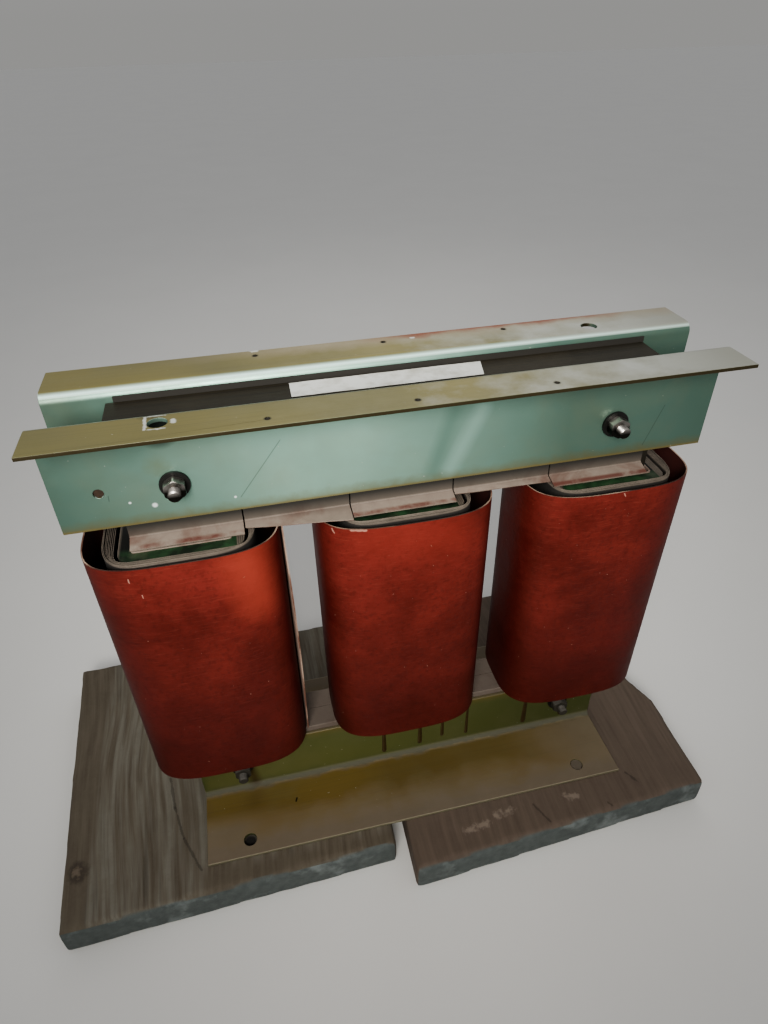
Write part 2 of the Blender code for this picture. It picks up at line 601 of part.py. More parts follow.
def build_bolts(parent):
    """A tie bolt from the rear and a nut on its washer at the front, at each end of both yokes."""
    seat = WEB_OUTER + SEAT_GAP
    washer_face = seat + WASHER_THICKNESS
    nut_face = washer_face + HEX_HEIGHT
    sunk = WASHER_THICKNESS / 2
    shank_start = washer_face - sunk
    shank_length = shank_start + nut_face + BOLT_STAND_OUT
    for level, height in (("top", TOP_BOLT_HEIGHT), ("bottom", BOTTOM_BOLT_HEIGHT)):
        for end, x in (("left", -BOLT_X), ("right", BOLT_X)):
            place = (x, 0, height)
            name = f"{level}_bolt_{end}"
            shank = mesh_of(name, disc(BOLT_RADIUS, shank_length, shank_start))
            bolt = link(name, shank, STEEL_BOLT, place, parent=parent)
            washer = disc(WASHER_RADIUS, WASHER_THICKNESS, washer_face)
            boolean(bolt, guide(f"{name}_washer", washer, place), "UNION")
            head = hexagon(HEX_ACROSS_FLATS, HEX_HEIGHT + sunk, nut_face)
            boolean(bolt, guide(f"{name}_head", head, place), "UNION")
            name = f"{level}_nut_{end}"
            washer = mesh_of(name, disc(WASHER_RADIUS, WASHER_THICKNESS, -seat))
            nut = link(name, washer, STEEL_BOLT, place, parent=parent)
            hexa = hexagon(HEX_ACROSS_FLATS, HEX_HEIGHT + sunk, -washer_face + sunk)
            boolean(nut, guide(f"{name}_hexagon", hexa, place), "UNION")
            bore = round_cutter(f"{name}_bore", BOLT_RADIUS + SEAT_GAP, nut_face - seat + CUT_OVERRUN,
                                (x, -(seat + nut_face) / 2, height), "Y")
            boolean(nut, bore, "DIFFERENCE")


def main():
    """Builds the transformer under one empty."""
    clear_scene()
    root = bpy.data.objects.new("transformer", None)
    bpy.context.collection.objects.link(root)
    build_boards(root)
    build_core(root)
    build_bottom_clamps(root)
    build_top_clamps(root)
    build_sheets(root)
    build_coils(root)
    build_bolts(root)


main()
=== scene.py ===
# %% [markdown]
# A dry-type transformer stands in the open on two old planks. The frame from the CAD step brings its
# solids, and this file gives them their looks. It starts by loading that frame.

# %% Load the frame
import math
import random

import bpy
from mathutils import Matrix, Vector, noise


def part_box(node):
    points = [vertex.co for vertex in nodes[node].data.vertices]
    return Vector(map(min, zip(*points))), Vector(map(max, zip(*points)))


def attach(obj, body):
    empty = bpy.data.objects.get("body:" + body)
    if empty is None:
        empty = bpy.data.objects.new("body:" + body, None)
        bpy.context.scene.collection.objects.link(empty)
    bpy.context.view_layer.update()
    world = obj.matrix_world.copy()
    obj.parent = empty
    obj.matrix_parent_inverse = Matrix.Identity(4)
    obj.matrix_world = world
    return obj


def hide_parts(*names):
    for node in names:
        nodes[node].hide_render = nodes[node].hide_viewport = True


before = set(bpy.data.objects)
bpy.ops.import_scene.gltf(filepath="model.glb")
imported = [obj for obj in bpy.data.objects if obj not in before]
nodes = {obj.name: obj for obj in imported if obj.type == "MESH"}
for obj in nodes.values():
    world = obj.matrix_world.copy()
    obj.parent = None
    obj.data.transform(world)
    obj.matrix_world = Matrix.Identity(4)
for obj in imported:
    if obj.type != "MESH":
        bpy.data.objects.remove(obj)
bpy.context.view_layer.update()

# %% [markdown]
# The camera stands a little left of the middle, at waist height, and looks down at the coils. Its place
# and its three directions were solved from corners of the steel plates, whose real places are known.
# Setting the directions straight into the matrix keeps the slight roll that such a hand-held view has.

# %% Camera
LENS = 23.852
CAMERA_PLACE = Vector((-0.15524, -0.61809, 0.94273))
LOOK_ACROSS = Vector((0.97359, -0.22768, -0.01663)).normalized()
LOOK_AHEAD = Vector((0.17371, 0.78614, -0.59313)).normalized()

lens = bpy.data.cameras.new("camera")
lens.lens = LENS
camera = bpy.data.objects.new("camera", lens)
bpy.context.scene.collection.objects.link(camera)
look_up = LOOK_ACROSS.cross(LOOK_AHEAD)
turn = Matrix((LOOK_ACROSS, look_up, -LOOK_AHEAD)).transposed()
camera.matrix_world = Matrix.Translation(CAMERA_PLACE) @ turn.to_4x4()
bpy.context.scene.camera = camera
print("camera", [round(value, 3) for value in CAMERA_PLACE], "lens", LENS)

# %% [markdown]
# The light is that of a dull day through an opening: soft, from above and from the left front. One area
# light gives its direction and falls mostly on the clamps and the coil tops. A wide, weaker one opens the
# shade at the back, and a pale world fills in. Lights of this size leave the shadows soft.

# %% Floor and lights
FLOOR_SIZE = 40.0
WORLD_STRENGTH = 0.46
HORIZON = (0.62, 0.615, 0.60, 1.0)
ZENITH = (0.95, 0.97, 1.0, 1.0)


def deselect():
    """Operators act on all that is selected, so each step starts with nothing selected."""
    if bpy.context.object and bpy.context.object.mode != "OBJECT":
        bpy.ops.object.mode_set(mode="OBJECT")
    bpy.ops.object.select_all(action="DESELECT")


def select(*pieces):
    """Selects these pieces alone. The first one becomes the active one."""
    deselect()
    for piece in pieces:
        piece.select_set(True)
    bpy.context.view_layer.objects.active = pieces[0]


def area_light(name, place, target, size, power, colour):
    """A square area light at a place, turned to a target."""
    deselect()
    bpy.ops.object.light_add(type="AREA", location=place)
    light = bpy.context.object
    light.name = name
    light.rotation_euler = (Vector(target) - Vector(place)).to_track_quat("-Z", "Y").to_euler()
    light.data.size = size
    light.data.energy = power
    light.data.color = colour
    return light


deselect()
bpy.ops.mesh.primitive_plane_add(size=FLOOR_SIZE, location=(0, 0, 0))
floor = bpy.context.object
floor.name = "floor"
sky_light = area_light("sky_light", (-0.42, -1.25, 1.30), (-0.06, -0.05, 0.66), 0.7, 6.5, (1.0, 0.985, 0.94))
sky_light.data.spread = math.radians(62)
area_light("rear_light", (0.5, 1.6, 1.9), (0, 0.1, 0.5), 1.4, 5.0, (1.0, 0.99, 0.95))
world = bpy.data.worlds.new("pale world")
bpy.context.scene.world = world
world.use_nodes = True
sky = world.node_tree
background = sky.nodes["Background"]
background.inputs["Strength"].default_value = WORLD_STRENGTH
direction = sky.nodes.new("ShaderNodeTexCoord")
heights = sky.nodes.new("ShaderNodeSeparateXYZ")
fade = sky.nodes.new("ShaderNodeValToRGB")
sky.links.new(direction.outputs["Generated"], heights.inputs["Vector"])
sky.links.new(heights.outputs["Z"], fade.inputs["Fac"])
sky.links.new(fade.outputs["Color"], background.inputs["Color"])
fade.color_ramp.elements[0].color = HORIZON
fade.color_ramp.elements[1].color = ZENITH
fade.color_ramp.elements[1].position = 0.5
bpy.context.scene.view_settings.look = "AgX - Medium High Contrast"
print("floor", FLOOR_SIZE, "m wide, world strength", WORLD_STRENGTH)

# %% [markdown]
# Every finish is a small graph of nodes that reads the piece's own coordinates in metres, so a noise
# scale of 100 makes spots of about 10 mm on every piece. A few helpers keep the graphs short enough to
# read: most add one node, or a few, and return the socket that the next one reads. Three of them, cover,
# shade and mark, lay a further colour over the tone that the finish has so far.

# %% Helpers for finishes


class Finish:
    """One material and short ways to add nodes to it."""

    def __init__(self, name, roughness, metallic=0.0):
        self.material = bpy.data.materials.new(name)
        self.material.use_nodes = True
        self.tree = self.material.node_tree
        self.shader = self.tree.nodes["Principled BSDF"]
        self.rough(roughness)
        self.metal(metallic)
        self.spot = self.add("TexCoord").outputs["Object"]
        self.facing = self.add("NewGeometry").outputs["Normal"]

    def add(self, kind, inputs=(), **settings):
        """Adds a node; an input is a plain value or the socket that feeds it."""
        node = self.tree.nodes.new("ShaderNode" + kind)
        for key, value in settings.items():
            setattr(node, key, value)
        for key, value in dict(inputs).items():
            self.feed(node.inputs[key], value)
        return node

    def feed(self, socket, value):
        """Links a socket, or sets a value."""
        if isinstance(value, bpy.types.NodeSocket):
            self.tree.links.new(value, socket)
        else:
            socket.default_value = value

    def stretched(self, scale, turn=(0.0, 0.0, 0.0)):
        """The place on the piece, turned and then stretched along its axes."""
        mapping = self.add("Mapping", {"Vector": self.spot, "Rotation": turn, "Scale": scale})
        return mapping.outputs["Vector"]

    def noise(self, scale, detail=4.0, roughness=0.6, vector=None, distortion=0.0):
        """A cloudy value between 0 and 1."""
        node = self.add("TexNoise", {"Vector": vector or self.spot, "Scale": scale, "Detail": detail,
                                     "Roughness": roughness, "Distortion": distortion})
        return node.outputs["Fac"]

    def between(self, value, low, high, start=0.0, end=1.0):
        """Maps low..high to start..end and holds it there."""
        node = self.add("MapRange", {"Value": value, "From Min": low, "From Max": high,
                                     "To Min": start, "To Max": end})
        return node.outputs["Result"]

    def sum_up(self, operation, first, second=0.0):
        """One step of arithmetic."""
        node = self.add("Math", operation=operation)
        self.feed(node.inputs[0], first)
        self.feed(node.inputs[1], second)
        return node.outputs[0]

    def vector(self, operation, first, second):
        """One step of arithmetic with vectors."""
        node = self.add("VectorMath", operation=operation)
        self.feed(node.inputs[0], first)
        self.feed(node.inputs[1], second)
        return node.outputs["Value" if operation in ("DISTANCE", "DOT_PRODUCT") else "Vector"]

    def gap(self, start, end=None, spot=None):
        """The distance to a place, or to the straight line between two places."""
        spot = spot or self.spot
        if end is None:
            return self.vector("DISTANCE", spot, start)
        run = Vector(end) - Vector(start)
        reached = self.vector("DOT_PRODUCT", self.vector("SUBTRACT", spot, start), run)
        share = self.between(reached, 0.0, run.length_squared)
        nearest = self.vector("ADD", self.vector("MULTIPLY", share, run), start)
        return self.vector("DISTANCE", spot, nearest)

    def ragged(self, value, scale, reach):
        """Makes the outline of a value uneven by a noise that reaches so far."""
        return self.sum_up("ADD", value, self.between(self.noise(scale, detail=5.0), 0.3, 0.7, -reach, reach))

    def times(self, first, second):
        """The product of two values."""
        return self.sum_up("MULTIPLY", first, second)

    def off(self, value, middle=0.0):
        """How far a value lies from its middle."""
        return self.sum_up("ABSOLUTE", self.sum_up("SUBTRACT", value, middle) if middle else value)

    def tint(self, base, colour, value, low, high, start=0.0, end=1.0):
        """Mixes a colour into a base by a value that is mapped as between does."""
        return self.mix(self.between(value, low, high, start, end), base, colour)

    def cover(self, share, colour):
        """Lays a colour over the tone that the finish has."""
        self.tone = self.mix(share, self.tone, colour)

    def shade(self, colour, value, low, high, start=0.0, end=1.0):
        """Lays a colour over the tone by a value that is mapped as between does."""
        self.cover(self.between(value, low, high, start, end), colour)

    def mark(self, gap, width, colour, share=1.0):
        """Lays a colour on what lies nearer than a width."""
        self.shade(colour, gap, 0.6 * width, 1.2 * width, share, 0.0)

    def mix(self, share, first, second):
        """A colour between two colours."""
        node = self.add("Mix", data_type="RGBA")
        self.feed(node.inputs[0], share)
        self.feed(node.inputs[6], first)
        self.feed(node.inputs[7], second)
        return node.outputs[2]

    def axis(self, name, vector=None):
        """One coordinate of a vector, by default of the place on the piece."""
        return self.add("SeparateXYZ", {"Vector": vector or self.spot}).outputs[name]

    def bump(self, height, distance, strength=1.0):
        """Relief in metres, added to what the shader has."""
        node = self.add("Bump", {"Height": height, "Distance": distance, "Strength": strength})
        before = self.shader.inputs["Normal"]
        if before.is_linked:
            self.tree.links.new(before.links[0].from_socket, node.inputs["Normal"])
        self.tree.links.new(node.outputs["Normal"], before)

    def colour(self, value):
        """Sets the base colour."""
        self.feed(self.shader.inputs["Base Color"], value)
        return self

    def rough(self, value):
        """Sets the roughness."""
        self.feed(self.shader.inputs["Roughness"], value)

    def metal(self, value):
        """Sets how much the surface is like metal."""
        self.feed(self.shader.inputs["Metallic"], value)


def rgb(red, green, blue):
    """A colour as a picture editor writes it, turned to linear light."""
    linear = [value / 12.92 if value <= 0.04045 else ((value + 0.055) / 1.055) ** 2.4
              for value in (red / 255, green / 255, blue / 255)]
    return (*linear, 1.0)


def two_tone(name, roughness, scale, first, second, detail=4.0, metallic=0.0):
    """A finish that is clouded between two colours."""
    finish = Finish(name, roughness, metallic)
    return finish.colour(finish.mix(finish.noise(scale, detail), first, second))


def dress(finish, *words):
    """Gives a finish to the CAD nodes whose names hold one of the words."""
    names = [name for name in nodes if any(word in name for word in words)]
    for name in names:
        nodes[name].data.materials.clear()
        nodes[name].data.materials.append(finish.material)
    print(finish.material.name, "on", ", ".join(names))


# %% [markdown]
# The floor is a plain pale one, so that nothing draws the eye from the object.

# %% Floor finish
floor_paint = two_tone("floor paint", 0.85, 3.0, rgb(208, 206, 202), rgb(214, 212, 208))
floor.data.materials.append(floor_paint.material)
print("floor painted")

# %% [markdown]
# The clamps are folded steel plates, zinc plated and passivated. That film is gold where it lies level
# and mint green where it stands, with olive tints near the cut edges, hair scratches and white specks.
# A painted highlight runs along the middle of each standing plate and fades to darker ends, and the bend
# has a colour of its own. The lean of the surface picks the tint, and the place on the plate shifts it.
# One function makes what all four plates share.

# %% Zinc plate


def zinc_plate(name, standing, lying, bend_highlight_and_dust, edge_height):
    """Passivated zinc: two tints standing, mixed by a painted highlight along the plate, two lying, one for
    the bend, which is a painted highlight on the top clamps and dust on the foot plates, and a golden edge at
    a height.
    """
    zinc = Finish(name, 0.36, metallic=0.5)
    zinc.level = zinc.between(zinc.off(zinc.axis("Z", zinc.facing)), 0.55, 0.97)
    zinc.out = zinc.off(zinc.axis("Y"))
    zinc.across = zinc.axis("X")
    # Painted light: the standing plate is painted bright in its middle and darker towards both ends, as a
    # highlight and its fall-off.
    sheen_from_left = zinc.between(zinc.across, -0.42, -0.10)
    sheen_to_right = zinc.between(zinc.across, -0.05, 0.18, 1.0, 0.20)
    slow = zinc.noise(4.0, detail=2.0, vector=zinc.stretched((1.0, 1.0, 0.5), (0.0, 0.9, 0.0)))
    painted_sheen = zinc.times(zinc.times(sheen_from_left, sheen_to_right), zinc.between(slow, 0.3, 0.7, 0.75, 1.1))
    clouds = zinc.noise(11.0, distortion=0.4)
    stand = zinc.mix(painted_sheen, *standing)
    lie = zinc.mix(zinc.between(slow, 0.36, 0.60), *lying)
    # The bend gets a colour of its own: a painted highlight on the top clamps, dust on the foot plates.
    bend = zinc.sum_up("SUBTRACT", 1.0, zinc.off(zinc.between(zinc.level, 0.0, 1.0, -1.0, 1.0)))
    bend = zinc.times(bend, zinc.between(zinc.out, 0.046, 0.050, 1.0, 0.0))
    zinc.tone = zinc.mix(zinc.level, stand, lie)
    zinc.shade(rgb(120, 116, 88), clouds, 0.46, 0.75, 0.0, 0.22)
    zinc.cover(bend, bend_highlight_and_dust)
    height = zinc.off(zinc.axis("Z"), edge_height)
    ragged_height = zinc.ragged(height, 60.0, 0.003)
    zinc.shade(rgb(108, 96, 58), ragged_height, 0.001, 0.014, 0.60, 0.0)
    zinc.shade(rgb(124, 108, 62), height, 0.0015, 0.0035, 0.6, 0.0)
    brushed = zinc.noise(1.0, detail=2.0, vector=zinc.stretched((4.0, 500.0, 500.0)))
    brushing = zinc.times(zinc.between(brushed, 0.50, 0.75, 0.0, 0.20), zinc.level)
    zinc.cover(brushing, rgb(70, 68, 50))
    specks = zinc.noise(300.0, detail=1.0)
    zinc.shade(rgb(190, 190, 180), specks, 0.79, 0.81, 0.0, 0.6)
    zinc.dust = zinc.noise(22.0, detail=8.0, roughness=0.7)
    zinc.rough(zinc.between(zinc.dust, 0.3, 0.7, 0.32, 0.50))
    zinc.bump(clouds, 0.0010, 0.15)
    return zinc


# %% [markdown]
# The top clamps are mint green with a painted highlight on the bend. Towards the right they turn cream
# with dust, and rust has crept over the rear edge. Each mark on them is a distance to a place or to a
# line: dirt round the tapped holes, scratches, drips and the torn white tape, and painted shade and
# sheen on the cut edge, in and under the holes and in two bands across the web.

# %% Top clamp finish
WEB_FACE = -0.0341
WEB_LOW, WEB_HIGH = 0.5466, 0.6145
FLANGE_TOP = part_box("top_clamp_front")[1].z
FLANGE_EDGE = FLANGE_TOP - 0.0046
TAPPED_PLACES = [(x, y) for x in (-0.139, 0.0, 0.139) for y in (-0.0711, 0.0711)]
LIFT_HOLE = (-0.235, -0.0536)
EARTH_HOLE = (-0.3065, 0.5749)
SCRATCHES = (((-0.1286, 0.6083), (-0.1747, 0.5484)), ((0.2928, 0.5897), (0.2761, 0.5412)),
             ((-0.2984, 0.5710), (-0.2990, 0.5650)))
DRIPS = ((-0.2583, 0.5534, 0.0028), (-0.2807, 0.5599, 0.0014), (-0.180, 0.5495, 0.0015))
TAPE_STRIPS = (
    ((-0.2462, -0.0400), (-0.2455, -0.0640), 0.0015), ((-0.2440, -0.0400), (-0.2290, -0.0405), 0.0012),
    ((-0.2215, -0.0520), (-0.2210, -0.0560), 0.0026), ((-0.2430, -0.0650), (-0.2280, -0.0655), 0.0010),
    ((0.0330, 0.0740), (0.0350, 0.0740), 0.0020), ((-0.1410, 0.0830), (-0.1370, 0.0835), 0.0026))

# The pale mint given for the bend of the top clamps is a painted highlight.
upper = zinc_plate("passivated zinc plate", (rgb(57, 81, 70), rgb(140, 172, 158)),
                   (rgb(130, 120, 66), rgb(112, 106, 64)), rgb(226, 255, 246), 0.5329)
dusty_end = upper.between(upper.ragged(upper.across, 22.0, 0.1), 0.02, 0.30, 0.05, 0.95)
cream_dust = upper.tint(rgb(186, 188, 182), rgb(160, 160, 150), upper.across, 0.16, 0.34)
upper.cover(upper.times(dusty_end, upper.level), cream_dust)
to_rear = upper.ragged(upper.axis("Y"), 24.0, 0.006)
cream = upper.times(upper.between(to_rear, 0.060, 0.078, 0.0, 0.7),
                    upper.between(upper.across, -0.25, -0.08))
upper.cover(cream, rgb(156, 144, 122))
rust_reach = upper.between(upper.off(upper.across, 0.14), 0.10, 0.17, 0.9, 0.0)
rust = upper.times(upper.between(to_rear, 0.072, 0.084), rust_reach)
upper.cover(rust, rgb(130, 68, 40))

# The cut edge of the flange is bare and brown, and part of its darkness is painted shade.
edge_band = upper.between(upper.axis("Z"), FLANGE_EDGE, FLANGE_EDGE + 0.001)
steep = upper.between(upper.level, 0.0, 0.5, 1.0, 0.0)
cut_edge_and_shade = upper.times(upper.times(edge_band, steep), upper.between(upper.out, 0.060, 0.062))
upper.cover(cut_edge_and_shade, rgb(58, 50, 30))

# Dark rings of dirt lie round the tapped holes, and a few scratches and drips mark the web. Two soft diagonal
# bands across the web are painted light.
for hole_x, hole_y in TAPPED_PLACES:
    ring = upper.gap((hole_x, hole_y, FLANGE_TOP))
    upper.mark(ring, 0.0036, rgb(26, 24, 18), 0.9)
for start, end in SCRATCHES:
    line = upper.gap((start[0], WEB_FACE, start[1]), (end[0], WEB_FACE, end[1]))
    upper.mark(line, 0.0005, rgb(48, 58, 50), 0.5)
for drip_x, drip_z, drip_size in DRIPS:
    upper.mark(upper.gap((drip_x, WEB_FACE, drip_z)), drip_size, rgb(225, 232, 228))
# Painted light: a darker band of painted shade and, beside it, a brighter band of painted sheen.
for low_x, high_x, reach, colour in ((0.028, 0.050, 0.014, rgb(74, 104, 92)),
                                     (0.048, 0.080, 0.013, rgb(152, 184, 172))):
    painted_light_band = upper.gap((low_x, WEB_FACE, WEB_LOW), (high_x, WEB_FACE, WEB_HIGH))
    upper.shade(colour, painted_light_band, 0.002, reach, 0.40, 0.0)

# Painted shadow lies on the web below the front lifting hole, and the bores of the lifting holes and the
# earth hole are painted dark as the shade inside them. Torn white tape is left round the front lifting hole.
painted_shadow_below_hole = upper.gap((-0.2400, WEB_FACE, FLANGE_TOP - 0.016))
upper.mark(painted_shadow_below_hole, 0.019, rgb(12, 14, 12), 0.95)
olive_stain = upper.ragged(upper.gap((-0.2472, WEB_FACE, 0.5974)), 60.0, 0.005)
upper.shade(rgb(104, 104, 66), olive_stain, 0.002, 0.014, 0.30, 0.0)
for start, end, width in TAPE_STRIPS:
    strip = upper.ragged(upper.gap((*start, FLANGE_TOP), (*end, FLANGE_TOP)), 260.0, 0.0010)
    upper.mark(strip, width, rgb(206, 208, 202), 0.9)
# Painted shade inside the lifting holes and the earth hole.
for side in (-1, 1):
    hole = (-side * LIFT_HOLE[0], -side * LIFT_HOLE[1])
    shaded_bore = upper.gap((*hole, FLANGE_TOP - 0.010), (*hole, FLANGE_TOP - 0.0012))
    upper.mark(shaded_bore, 0.0088, rgb(20, 20, 16), 0.95)
earth_x, earth_z = EARTH_HOLE
shaded_earth_bore = upper.gap((earth_x, WEB_FACE, earth_z), (earth_x, WEB_FACE + 0.0040, earth_z))
upper.mark(shaded_earth_bore, 0.0050, rgb(40, 30, 20), 0.9)
upper.colour(upper.tone)
print("top clamp finish made")

# %% [markdown]
# The foot plates are yellower and carry dust: at both ends, along the front, and thick in the bend. The
# dust is duller than the plate, so its share lowers the metallic value and raises the roughness.

# %% Foot plate finish
FOOT_HOLE = (0.2365, -0.1141)
DUST_SHARE = 0.88
SCRATCH_HEIGHT = 0.0523

foot = zinc_plate("yellow zinc foot plate", (rgb(74, 80, 46), rgb(92, 98, 58)),
                  (rgb(122, 100, 56), rgb(114, 96, 57)), rgb(90, 86, 62), 0.1433)
wander = foot.between(foot.dust, 0.25, 0.75, -0.014, 0.014)
front_dust = foot.between(foot.sum_up("ADD", foot.out, wander), 0.072, 0.122)
wandering_x = foot.sum_up("ADD", foot.across, wander)
end_dust = foot.between(wandering_x, 0.14, 0.25, 0.0, 0.8)
left_dust = foot.times(foot.between(wandering_x, -0.25, -0.17, 0.85, 0.0),
                       foot.between(foot.out, 0.068, 0.094))
end_dust = foot.sum_up("MAXIMUM", end_dust, left_dust)
bend_dust = foot.between(foot.ragged(foot.out, 40.0, 0.003), 0.038, 0.044, 1.0, 0.0)
bend_dust = foot.times(bend_dust, foot.between(foot.axis("Z"), 0.056, 0.062, 1.0, 0.0))
flat_dust = foot.times(foot.sum_up("MAXIMUM", front_dust, end_dust), foot.level)
dust_share = foot.times(foot.sum_up("MAXIMUM", flat_dust, bend_dust), DUST_SHARE)
dust_tone = foot.mix(foot.dust, rgb(84, 75, 63), rgb(107, 96, 83))
dust_tone = foot.mix(bend_dust, dust_tone, rgb(72, 70, 58))
foot.cover(dust_share, dust_tone)
scratch = foot.gap((-0.1682, -0.0695, SCRATCH_HEIGHT), (-0.170, -0.074, SCRATCH_HEIGHT))
foot.mark(scratch, 0.0012, rgb(24, 20, 14))
stained = foot.gap((-0.228, WEB_FACE, 0.098), (-0.222, WEB_FACE, 0.062))
foot.shade(rgb(52, 34, 16), stained, 0.002, 0.012, 0.75, 0.0)
foot.shade(rgb(138, 130, 110), foot.out, 0.1346, 0.1356, 0.0, 0.75)
foot.shade(rgb(112, 106, 88), foot.axis("Z"), 0.1415, 0.1428, 0.0, 0.7)
# Painted shade: the open foot hole on the left is dark inside.
painted_shade_in_foot_hole = foot.gap((-FOOT_HOLE[0], FOOT_HOLE[1], 0.0450), (-FOOT_HOLE[0], FOOT_HOLE[1], 0.0508))
foot.mark(painted_shade_in_foot_hole, 0.0082, rgb(20, 17, 13), 0.95)
foot.colour(foot.tone)
foot.metal(foot.between(dust_share, 0.0, 0.8, 0.5, 0.0))
foot.rough(foot.between(dust_share, 0.0, 0.8, 0.42, 0.85))
print("foot plate finish made")

# %% [markdown]
# A sheared plate edge is never knife sharp. Each plate is a copy of its CAD solid with its doubled
# points merged, and its edges are broken by a small bevel that catches the light.

# %% Clamp plates


def whole_copy(name):
    """A copy of a CAD node with the doubled points of its loose triangles merged."""
    piece = nodes[name].copy()
    piece.data = nodes[name].data.copy()
    piece.parent = None
    bpy.context.scene.collection.objects.link(piece)
    select(piece)
    piece.data.materials.clear()
    for key in list(piece.keys()):
        del piece[key]
    bpy.ops.object.mode_set(mode="EDIT")
    bpy.ops.mesh.select_all(action="SELECT")
    bpy.ops.mesh.remove_doubles(threshold=0.00001)
    bpy.ops.object.mode_set(mode="OBJECT")
    return piece


PLATES = [(whole_copy(f"{level}_clamp_{side}"), f"{level}_clamp_{side}", finish)
          for level, finish in (("top", upper), ("bottom", foot)) for side in ("front", "rear")]
print(len(PLATES), "plates copied")

# %% [markdown]
# The core is a stack of thin varnished sheets. Their edges show as fine lines along the yokes and up
# the legs. The lines come from noise that is stretched along the sheets and very fine across the stack.

# %% Core laminations
sheets = Finish("varnished core sheets", 0.6, metallic=0.2)
stack = sheets.noise(1.0, vector=sheets.stretched((3.0, 1400.0, 3.0)), detail=2.0)
tone = sheets.noise(9.0, detail=5.0)
core_colour = sheets.tint(rgb(26, 22, 14), rgb(48, 42, 28), stack, 0.35, 0.65)
sheets.colour(sheets.tint(core_colour, rgb(66, 58, 42), tone, 0.45, 0.75, 0.0, 0.5))
sheets.bump(stack, 0.0006, 0.8)
dress(sheets, "yoke", "leg")

# %% [markdown]
# The red wraps are thin insulating board in a matte orange-red varnish, with darker blotches where it
# ran and pale flecks where it chipped. The cut edges show the pale board, and the inside is maroon.
# Painted light lies on them too: soft highlights on their fronts, and painted shade towards the bottom,
# on the sides, at the outer ends and along the front of the top rim.

# %% Red wraps
wrap = Finish("red varnished wrap", 0.50)
wrap.shader.inputs["Specular IOR Level"].default_value = 0.18
blotches = wrap.noise(13.0, detail=7.0, roughness=0.62, distortion=0.3)
fine = wrap.noise(170.0, detail=3.0)
wrap.tone = wrap.tint(rgb(80, 24, 18), rgb(108, 38, 31), blotches, 0.36, 0.64)
wrap.shade(rgb(62, 15, 9), fine, 0.50, 0.72, 0.0, 0.45)
threads = wrap.noise(1.0, detail=2.0, vector=wrap.stretched((60.0, 60.0, 900.0)))
wrap.shade(rgb(138, 66, 55), threads, 0.55, 0.75, 0.0, 0.30)
# Painted highlights: soft brighter patches on the fronts of the left and middle wraps.
PAINTED_HIGHLIGHTS = (((-0.177, -0.080, 0.490), (-0.165, -0.080, 0.440), 0.045, 0.75, rgb(150, 62, 48)),
         ((-0.040, -0.080, 0.490), (0.040, -0.080, 0.480), 0.050, 0.5, rgb(130, 49, 39)))
for start, end, reach, share, colour in PAINTED_HIGHLIGHTS:
    wrap.shade(colour, wrap.gap(start, end), 0.005, reach, share, 0.0)
# Painted shade: the wraps grow darker towards the bottom.
wrap.shade(rgb(50, 13, 8), wrap.axis("Z"), 0.20, 0.51, 0.60, 0.0)
# Painted shade: the sides of the wraps and the outer ends of the outer coils are darker.
sides = wrap.between(wrap.off(wrap.axis("X", wrap.facing)), 0.45, 0.95)
from_middle = wrap.off(wrap.axis("X"))
side_shade = wrap.times(sides, wrap.between(from_middle, 0.25, 0.33, 0.45, 0.80))
end_shade = wrap.between(from_middle, 0.285, 0.338, 0.0, 0.60)
wrap.cover(wrap.sum_up("MAXIMUM", side_shade, end_shade), rgb(46, 12, 8))
flecks = wrap.noise(300.0, detail=1.0)
wrap.shade(rgb(170, 132, 116), flecks, 0.80, 0.82, 0.0, 0.6)
CHIPS = ((-0.2948, 0.4964, -0.2946, 0.4912, 0.0006), (-0.2860, 0.4742, -0.2858, 0.4700, 0.0005),
         (-0.0868, 0.5048, -0.0852, 0.4996, 0.0007), (-0.0680, 0.5066, -0.0530, 0.5060, 0.0016),
         (0.2414, 0.5052, 0.2436, 0.5010, 0.0008))
flat_spot = wrap.vector("MULTIPLY", wrap.spot, (1.0, 0.0, 1.0))
for start_x, start_z, end_x, end_z, chip_width in CHIPS:
    chip = wrap.ragged(wrap.gap((start_x, 0.0, start_z), (end_x, 0.0, end_z), flat_spot), 300.0, 0.0004)
    wrap.mark(chip, chip_width, rgb(176, 136, 120), 0.6)
wrap.colour(wrap.tone)
wrap.rough(wrap.between(blotches, 0.3, 0.7, 0.44, 0.64))
wrap.bump(blotches, 0.0012, 0.35)
wrap.bump(fine, 0.0003, 0.5)

FREE_EDGE = ((-0.1420, -0.0320, 0.1500), (-0.1420, -0.0320, 0.5080))
inside = Finish("inside of the wrap", 0.75)
maroon = inside.mix(inside.noise(40.0, detail=5.0), rgb(44, 14, 10), rgb(74, 24, 17))
near_free_edge = inside.between(inside.gap(*FREE_EDGE), 0.010, 0.018, 1.0, 0.0)
inside.colour(inside.mix(near_free_edge, maroon, rgb(150, 128, 114)))

bare = Finish("bare edge of the wrap", 0.8)
bare_board = bare.tint(rgb(92, 58, 44), rgb(156, 134, 118), bare.noise(24.0), 0.40, 0.60)
# Painted shade: the rim is dark along the front, save at two worn places, and shows the pale board elsewhere.
painted_shade_rim = bare.between(bare.axis("Y"), -0.062, -0.050, 0.9, 0.0)
for worn_x in (-0.075, 0.195):
    off_worn = bare.off(bare.axis("X"), worn_x)
    painted_shade_rim = bare.times(painted_shade_rim, bare.between(off_worn, 0.045, 0.055))
bare.colour(bare.mix(painted_shade_rim, bare_board, rgb(46, 20, 15)))
dress(wrap, "coil_wrap")

# %% [markdown]
# Pressboard sheets, paper edges and the green varnished tape of the inner windings are all matt and
# dusty. Stains from the varnish bath run along the tabs. Painted shade darkens the sheets under the
# webs and low down, the papers below their top edges and the tape next to the legs.

